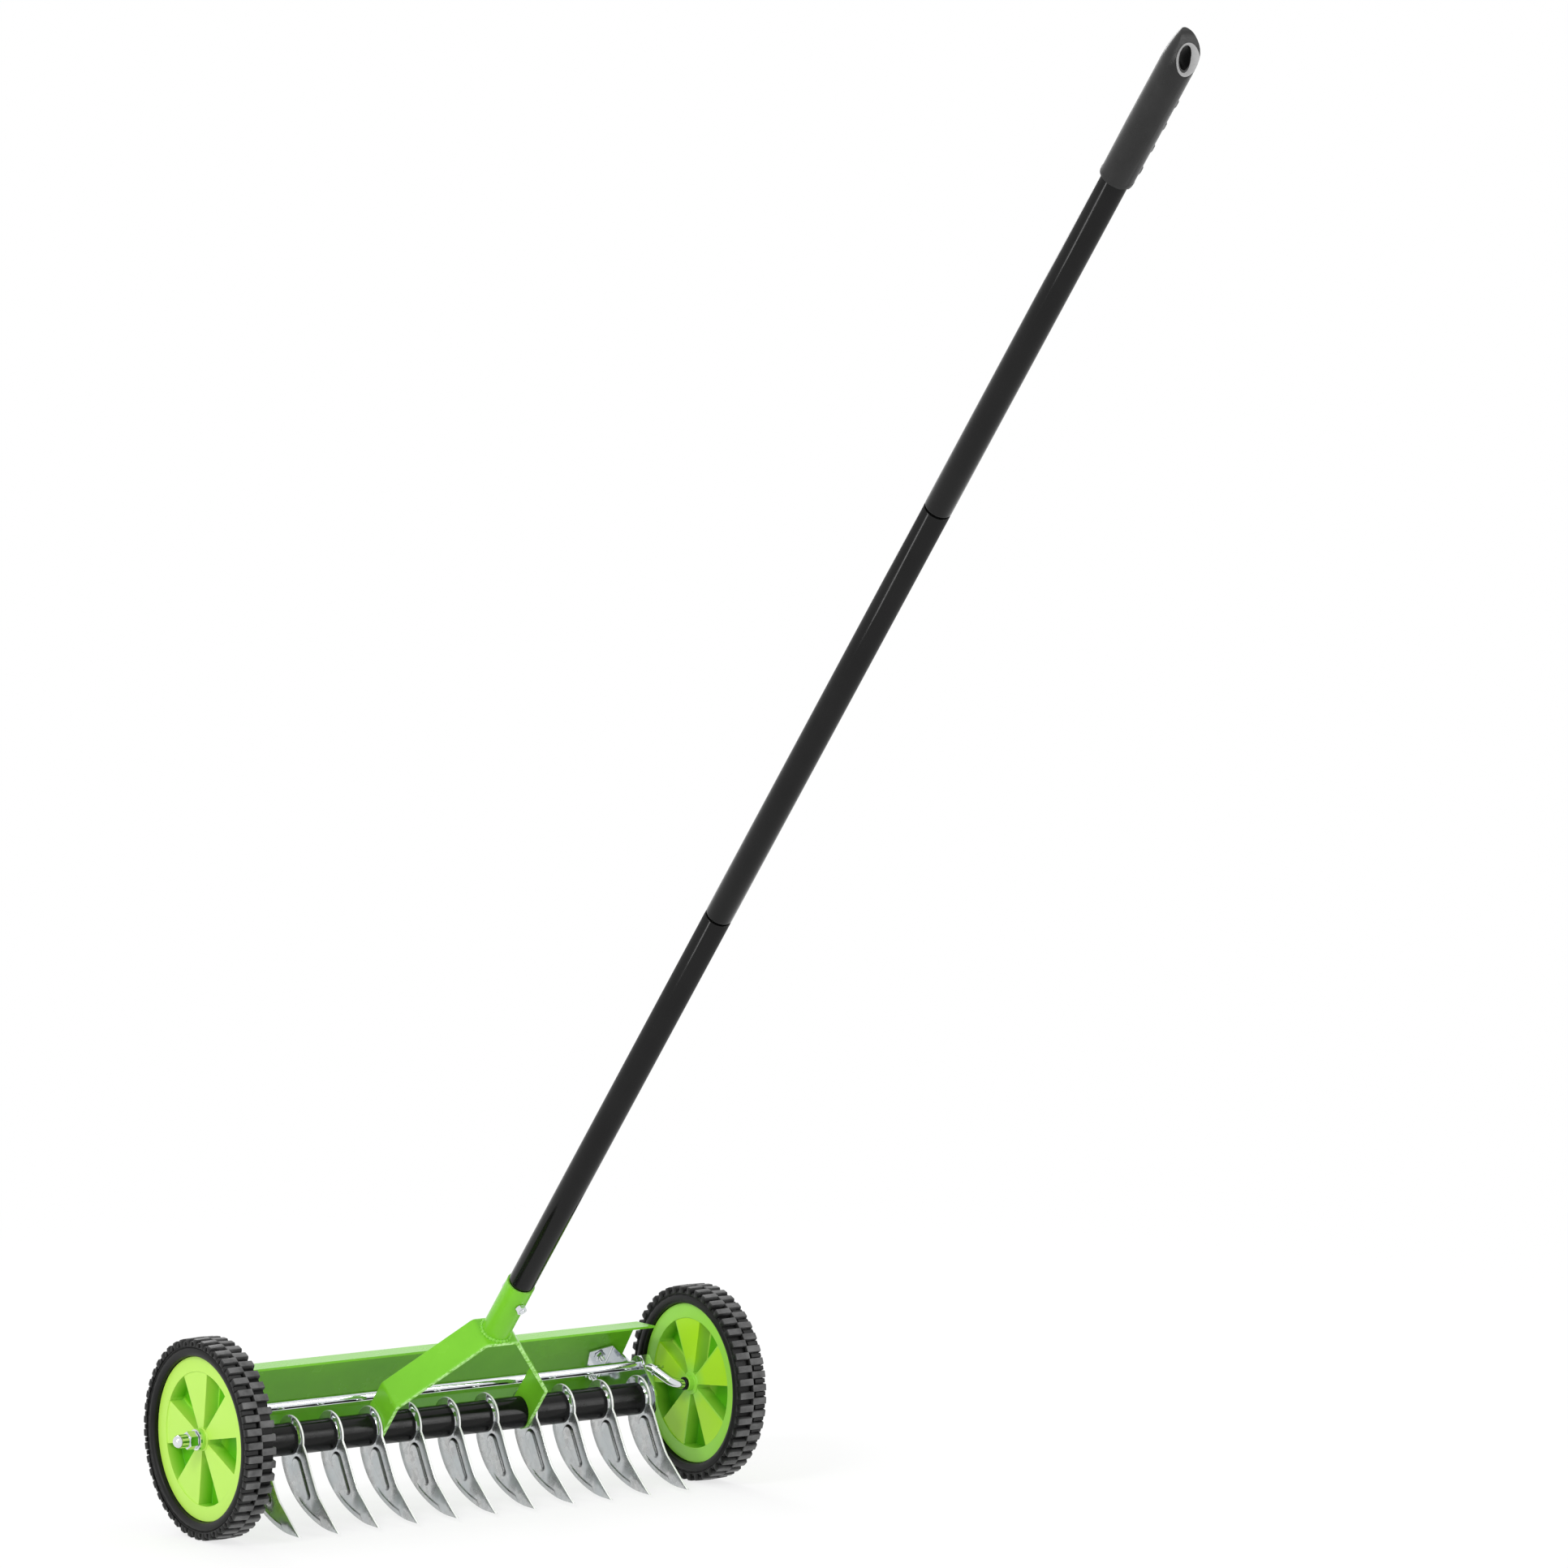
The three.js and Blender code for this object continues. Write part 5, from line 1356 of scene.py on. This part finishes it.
# %% Socket and its weld
SOCKET_RADIUS, SOCKET_WALL, SOCKET_END, SOCKET_STEP = 12.0, 1.6, 170.8, 1.2
BEAD_COUNT, BEAD_LENGTH, BEAD_REACH, BEAD_OUT = 26, 2.1, 2.0, 0.2
SOCKET_SCREW_DOWN = 17
socket_inner = SOCKET_RADIUS - SOCKET_WALL
socket_foot = YOKE_TOP + SEAT_GAP
socket_outside = [(along, SOCKET_RADIUS) for along in (
    SOCKET_END, SOCKET_END - SOCKET_STEP, socket_foot + SOCKET_STEP, socket_foot)]
socket_profile = [(socket_foot, socket_inner), (SOCKET_END, socket_inner), *socket_outside,
                  (socket_foot, socket_inner)]
make("socket_tube", round_edges(turned(socket_profile, 72, "Z"), YOKE_ROUND), ON_HANDLE,
     "green_paint", "frame", "handle_socket")


def weld_bead():
    """One bead of the weld: a low lump at the foot of the socket, on the +Z side of X."""
    bead = bmesh.new()
    bmesh.ops.create_icosphere(bead, subdivisions=2, radius=1)
    return moved(bead, Matrix.Translation((0, 0, SOCKET_RADIUS + BEAD_OUT))
                 @ Matrix.Diagonal((BEAD_REACH, BEAD_LENGTH, BEAD_REACH, 1)))


repeat("socket_weld", weld_bead(), ring_tree, "frame", "green_paint", "yoke", sharp_above=60,
       put=ON_HANDLE @ Matrix.Translation((0, 0, socket_foot)) @ TO_Z,
       Count=BEAD_COUNT, Phase=0.0, Centre=(0, 0, 0))

# %% Screw in the socket
socket_seat = SOCKET_RADIUS + SEAT_GAP
screw_and_nut("socket_screw_pan", "socket_hex_nut", socket_seat, -socket_seat - NUT_HEIGHT - 1,
              -socket_seat, ON_HANDLE @ Matrix.Translation((0, 0, SOCKET_END - SOCKET_SCREW_DOWN))
              @ Matrix.Rotation(-math.pi / 2, 4, "X"), "socket_screw", "socket_nut")

# %% [markdown]
# ## Handle tubes
# Three black tubes make the handle. The lower end of each is drawn in over a few
# millimetres, so that it slips into the tube below, and the upper end of each is left plain.
# The joint shows as a thin dark line with a soft shoulder above it.

# %% Tubes
TUBE_RADIUS, TUBE_WALL, TUBE_EDGE = 11.0, 1.2, 0.3
TUBE_LOWER, TUBE_MIDDLE, TUBE_UPPER = 433.0, 446.0, 340.0
SPIGOT, SPIGOT_NECK = 40.0, 3.0
GRIP_SOCKET = 92.0


def tube(start, end, spigot):
    """A tube from start to end, with its spigot below the start."""
    inner, above = TUBE_RADIUS - TUBE_WALL, start + SPIGOT_NECK
    neck = [(start + SPIGOT_NECK * t, spigot + (TUBE_RADIUS - spigot) * smooth_step(t))
            for t in (0.9, 0.7, 0.5, 0.3, 0.1)]
    profile = [(start - SPIGOT, spigot - TUBE_WALL), (start, spigot - TUBE_WALL), (above, inner),
               (end, inner), (end, TUBE_RADIUS - TUBE_EDGE), (end - TUBE_EDGE, TUBE_RADIUS),
               (above, TUBE_RADIUS), *neck, (start - SPIGOT, spigot),
               (start - SPIGOT, spigot - TUBE_WALL)]
    return turned(profile, 72, "Z")


middle_start = SOCKET_END + TUBE_LOWER
upper_start = middle_start + TUBE_MIDDLE
grip_start = upper_start + TUBE_UPPER
tube_spigot = TUBE_RADIUS - TUBE_WALL - SEAT_GAP
for name, *shape in (("lower", SOCKET_END, middle_start, socket_inner - SEAT_GAP),
                     ("middle", middle_start, upper_start, tube_spigot),
                     ("upper", upper_start, grip_start + GRIP_SOCKET, tube_spigot)):
    make(f"tube_{name}", tube(*shape), ON_HANDLE, "black_paint", "frame", f"handle_tube_{name}",
         sharp_above=50, even=False)

# %% [markdown]
# ## Grip
# The grip is a moulded sleeve with four finger ribs below it. Its end is cut off by a sloped
# face on the user's side, with an eye in it to hang it by. It is lofted: a list of stations
# says how wide and how deep the section is there, and where the sloped face cuts it. A dish
# is sunk into the face and the eye is cut through, and the bevel that the dish leaves is
# painted pale as a painted highlight. The row tree sets the ribs.

# %% Grip body
GRIP_LENGTH, GRIP_RADIUS = 137.4, 13.4
# Each station: distance along, half width, depth of the far side, height of the sloped face.
GRIP_STATIONS = [
    (0.0, 12.7, 12.7, -12.7), (0.6, 13.4, 13.4, -13.4), (3.4, 13.6, 13.6, -13.6),
    (4.3, 13.2, 13.2, -13.2), (50.0, 13.5, 13.5, -13.5), (92.0, 13.4, 13.4, -13.4),
    (108.0, 13.4, 13.4, -13.38), (110.0, 13.4, 13.4, -13.1), (113.0, 13.4, 13.4, -11.9),
    (116.0, 13.3, 13.4, -10.5), (119.0, 13.0, 13.4, -9.1), (122.4, 12.5, 13.4, -7.3),
    (125.6, 11.8, 13.3, -5.2), (128.6, 10.8, 13.2, -2.9), (131.2, 9.6, 13.1, -0.9),
    (133.5, 8.3, 12.9, 1.2), (135.4, 7.1, 12.5, 3.6), (136.6, 6.3, 12.0, 5.6),
    (137.4, 5.4, 11.2, 7.5)]
FULLY_ROUND = -0.9995
EYE_HALF_LENGTH, EYE_HALF_WIDTH = 8.2, 5.5
EYE_HEIGHT, EYE_BELOW_END = -7.7, 16.0
FACE_TURN = 33.0
DISH_HALF_LENGTH, DISH_HALF_WIDTH, DISH_DEPTH = 14.4, 10.6, 3.6
# Each level of the dish: its height over the face, and how much wider it is there.
DISH_LEVELS = [(-DISH_DEPTH, EYE_HALF_WIDTH - DISH_HALF_WIDTH), (-0.25, -0.7), (0.3, 0.2), (6, 1.5)]
HOLE_HALF, GRIP_ROUND = 20, 0.5
ARC_POINTS, CHORD_POINTS, OVAL_POINTS = 52, 8, 64
BEVEL_LEAN, BEVEL_REACH, BEVEL_SPARE, HOLE_LEAN = -0.25, 1.1, 0.3, 0.02


def grip_section(along, width, far, face):
    """A round section cut off by the sloped face on the user's side, which is -Y here."""
    depth = far if face > 0 else max(width, GRIP_RADIUS)
    start = math.asin(max(face / depth, FULLY_ROUND))
    turns = (start + (math.pi - 2 * start) * i / ARC_POINTS for i in range(ARC_POINTS + 1))
    section = [Vector((width * math.cos(a), (far if math.sin(a) > 0 else depth) * math.sin(a),
                       grip_start + along)) for a in turns]
    chord = [section[-1].lerp(section[0], i / CHORD_POINTS) for i in range(1, CHORD_POINTS)]
    return section + chord


def oval_tool(levels, half_width, half_length, place):
    """A body along Z through ovals: each level is (height, growth of the oval's halves)."""
    turns = [WHOLE_TURN * i / OVAL_POINTS for i in range(OVAL_POINTS)]
    return moved(lofted([[((half_width + grow) * math.cos(a), (half_length + grow) * math.sin(a),
                           height) for a in turns] for height, grow in levels]), place)


def grip_body():
    body = lofted([grip_section(*station) for station in GRIP_STATIONS])
    round_edges(body, GRIP_ROUND, above=38)
    eye = grip_start + GRIP_LENGTH - EYE_BELOW_END
    across = Matrix.Translation((0, 0, eye)) @ Matrix.Rotation(math.pi / 2, 4, "X")
    hole = oval_tool([(-HOLE_HALF, 0), (HOLE_HALF, 0)], EYE_HALF_WIDTH, EYE_HALF_LENGTH, across)
    on_slope = (Matrix.Translation((0, EYE_HEIGHT, eye))
                @ Matrix.Rotation(math.radians(90 - FACE_TURN), 4, "X"))
    dish = oval_tool(DISH_LEVELS, DISH_HALF_WIDTH, DISH_HALF_LENGTH, on_slope)
    bore = drill(grip_start - 2 * OVERRUN, grip_start + GRIP_SOCKET, TUBE_RADIUS + CLEARANCE)
    body = carved(carved(carved(body, dish), hole), turned(bore, 72, "Z"))
    body.normal_update()
    # The dish's bevel is painted pale grey as a painted highlight.
    pale = body.loops.layers.float.new("pale")
    to_dish = on_slope.inverted()
    for face in body.faces:
        spot = to_dish @ face.calc_center_median()
        outward = Vector((spot.x / DISH_HALF_WIDTH ** 2, spot.y / DISH_HALF_LENGTH ** 2, 0))
        leans_in = outward.normalized().dot(to_dish.to_3x3() @ face.normal) < BEVEL_LEAN
        near = math.hypot(spot.x / DISH_HALF_WIDTH, spot.y / DISH_HALF_LENGTH) < BEVEL_REACH
        in_hole = abs(face.normal.y) < HOLE_LEAN
        on_bevel = leans_in and near and not in_hole and abs(spot.z) < DISH_DEPTH + BEVEL_SPARE
        for loop in face.loops:
            loop[pale] = float(on_bevel)
    return body


make("grip_sleeve", grip_body(), ON_HANDLE, "grip_plastic", "frame", "grip", sharp_above=28)

# %% Finger ribs
RIB_COUNT, RIB_PITCH, RIB_FIRST = 4, 21.7, 14.0
RIB_HEIGHT, RIB_HALF, RIB_REACH, RIB_STEPS = 1.6, 3.0, 46, 24
RIB_CREST, RIB_SUNK = 0.7, 1.0
# Each corner of a rib's section: its share of the half width and of the height.
RIB_CORNERS = [(-0.92, 0.45), (-0.62, 1), (0.62, 1), (0.92, 0.45)]


def finger_rib():
    """A raised band along X's cross plane: it wraps round the underside and fades at its ends."""
    sections = []
    for i in range(RIB_STEPS + 1):
        share = i / RIB_STEPS * 2 - 1
        angle = math.radians(-90 + RIB_REACH * share)
        rise = RIB_HEIGHT * (1 - abs(share) ** 4)
        corners = [(-RIB_HALF, GRIP_RADIUS - RIB_SUNK),
                   *((RIB_HALF * a, GRIP_RADIUS + rise * b) for a, b in RIB_CORNERS),
                   (RIB_HALF, GRIP_RADIUS - RIB_SUNK)]
        sections.append([(along, height * math.cos(angle), height * math.sin(angle))
                         for along, height in corners])
    rib = lofted(sections)
    # The crest is painted a lighter grey as a painted highlight.
    wear_and_painted_highlight, = new_marks(rib, "wear_and_painted_highlight")
    crest = GRIP_RADIUS + RIB_HEIGHT * RIB_CREST
    for vert in rib.verts:
        vert[wear_and_painted_highlight] = float(math.hypot(vert.co.y, vert.co.z) > crest)
    return rib


repeat("grip_ribs", finger_rib(), row_tree, "frame", "grip_plastic", "grip", sharp_above=50,
       put=ON_HANDLE @ TO_Z, Count=RIB_COUNT, Start=(grip_start + RIB_FIRST) * MM,
       Pitch=RIB_PITCH * MM, Tilt=0.0, Seed=1, Pivot=(0, 0, 0))

# %% [markdown]
# ## Floor, light and camera
# The machine stands on a plain pale floor. Large soft lamps light it at a level where each
# colour shows about as it is written. The background and the floor are white to the camera
# and in reflections through Light Path, so the lamps needn't be strong. The camera stands
# where it stood for the photograph: behind the machine, to its left and slightly above.

# %% World and floor
def seen_directly(tree):
    """1 for rays that the camera, a mirror or a glass sends, and 0 for the rest."""
    path = tree.nodes.new("ShaderNodeLightPath").outputs
    total = path["Is Camera Ray"]
    for name in ("Is Glossy Ray", "Is Transmission Ray"):
        total = calculate(tree, "ADD", total, path[name], use_clamp=True)
    return total


WORLD_LIGHT = 0.8
world = bpy.data.worlds.new("white room")
bpy.context.scene.world = world
world.use_nodes = True
sky = world.node_tree.nodes["Background"].inputs
sky["Color"].default_value = rgba(1)
feed(world.node_tree, remapped(world.node_tree, seen_directly(world.node_tree), WORLD_LIGHT, 1.0),
     sky["Strength"])

FLOOR_HALF, FLOOR_GREY, FLOOR_WHITE = 15.0, 0.9, 0.75
NEAR_FLOOR, FAR_FLOOR = 0.7, 2.2
floor_mesh = bpy.data.meshes.new("floor")
corners = [(x * FLOOR_HALF, y * FLOOR_HALF, 0) for x, y in ((-1, -1), (1, -1), (1, 1), (-1, 1))]
floor_mesh.from_pydata(corners, [], [range(4)])
floor = linked("floor", floor_mesh)
floor_material = bpy.data.materials.new("pale floor")
floor_material.use_nodes = True
tree = floor_material.node_tree
plain = tree.nodes["Principled BSDF"]
for title, value in (("Base Color", rgba(FLOOR_GREY)), ("Roughness", 0.8),
                     ("Specular IOR Level", 0.0)):
    plain.inputs[title].default_value = value
glow = add_node(tree, "ShaderNodeEmission", {"Color": rgba(1), "Strength": 1.0})
where = tree.nodes.new("ShaderNodeTexCoord").outputs["Object"]
far = add_node(tree, "ShaderNodeVectorMath", {0: where}, operation="LENGTH").outputs["Value"]
white = remapped(tree, far, FLOOR_WHITE, 1.0, start=NEAR_FLOOR, end=FAR_FLOOR,
                 interpolation_type="SMOOTHSTEP")
share = calculate(tree, "MULTIPLY", seen_directly(tree), white)
feed(tree, add_node(tree, "ShaderNodeMixShader", {0: share, 1: plain, 2: glow}),
     tree.nodes["Material Output"].inputs["Surface"])
floor_mesh.materials.append(floor_material)
floor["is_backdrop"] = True

# %% Lamps
LOOK_AT = Vector((0, 0, 0.3))


def lamp(name, position, size, power, length=None):
    """A soft lamp. With a length it is a strip, whose long side stands upright."""
    data = bpy.data.lights.new(name, "AREA")
    data.shape, data.size, data.energy = "RECTANGLE" if length else "DISK", size, power
    if length:
        data.size_y = length
    obj = linked(name, data)
    obj.location = position
    obj.rotation_euler = (LOOK_AT - Vector(position)).to_track_quat("-Z", "Y").to_euler()


lamp("key", (-3.2, -1.2, 2.9), 1.0, 55)
lamp("fill", (2.8, -2.4, 1.8), 2.2, 18)
lamp("rim light", (0.6, 3.0, 2.6), 1.6, 35)
lamp("left strip", (-3.4, -0.4, 1.0), 0.34, 27, 2.6)
lamp("right strip", (2.4, -3.2, 1.2), 0.2, 16, 2.6)

# %% Camera
CAMERA_AZIMUTH, CAMERA_ELEVATION = math.radians(-35.0), math.radians(5.74)
CAMERA_DISTANCE, CAMERA_RIGHT, CAMERA_UP = 7479.5, 278.4, 526.1
CAMERA_LENS, CAMERA_SENSOR = 207.7, 36.0
back = Vector((math.sin(CAMERA_AZIMUTH) * math.cos(CAMERA_ELEVATION),
               -math.cos(CAMERA_AZIMUTH) * math.cos(CAMERA_ELEVATION), math.sin(CAMERA_ELEVATION)))
right = Vector((math.cos(CAMERA_AZIMUTH), math.sin(CAMERA_AZIMUTH), 0))
up = back.cross(right)
camera_data = bpy.data.cameras.new("camera")
camera_data.lens, camera_data.sensor_width, camera_data.clip_end = CAMERA_LENS, CAMERA_SENSOR, 100
camera = linked("camera", camera_data)
camera.location = (SHAFT + right * CAMERA_RIGHT + up * CAMERA_UP + back * CAMERA_DISTANCE) * MM
camera.rotation_euler = Matrix((right, up, back)).transposed().to_euler()
bpy.context.scene.camera = camera
bpy.context.scene.view_settings.view_transform = "Standard"

# %% Sizes, and the end
low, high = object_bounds()
print("visual box", [round(v, 4) for v in high - low])
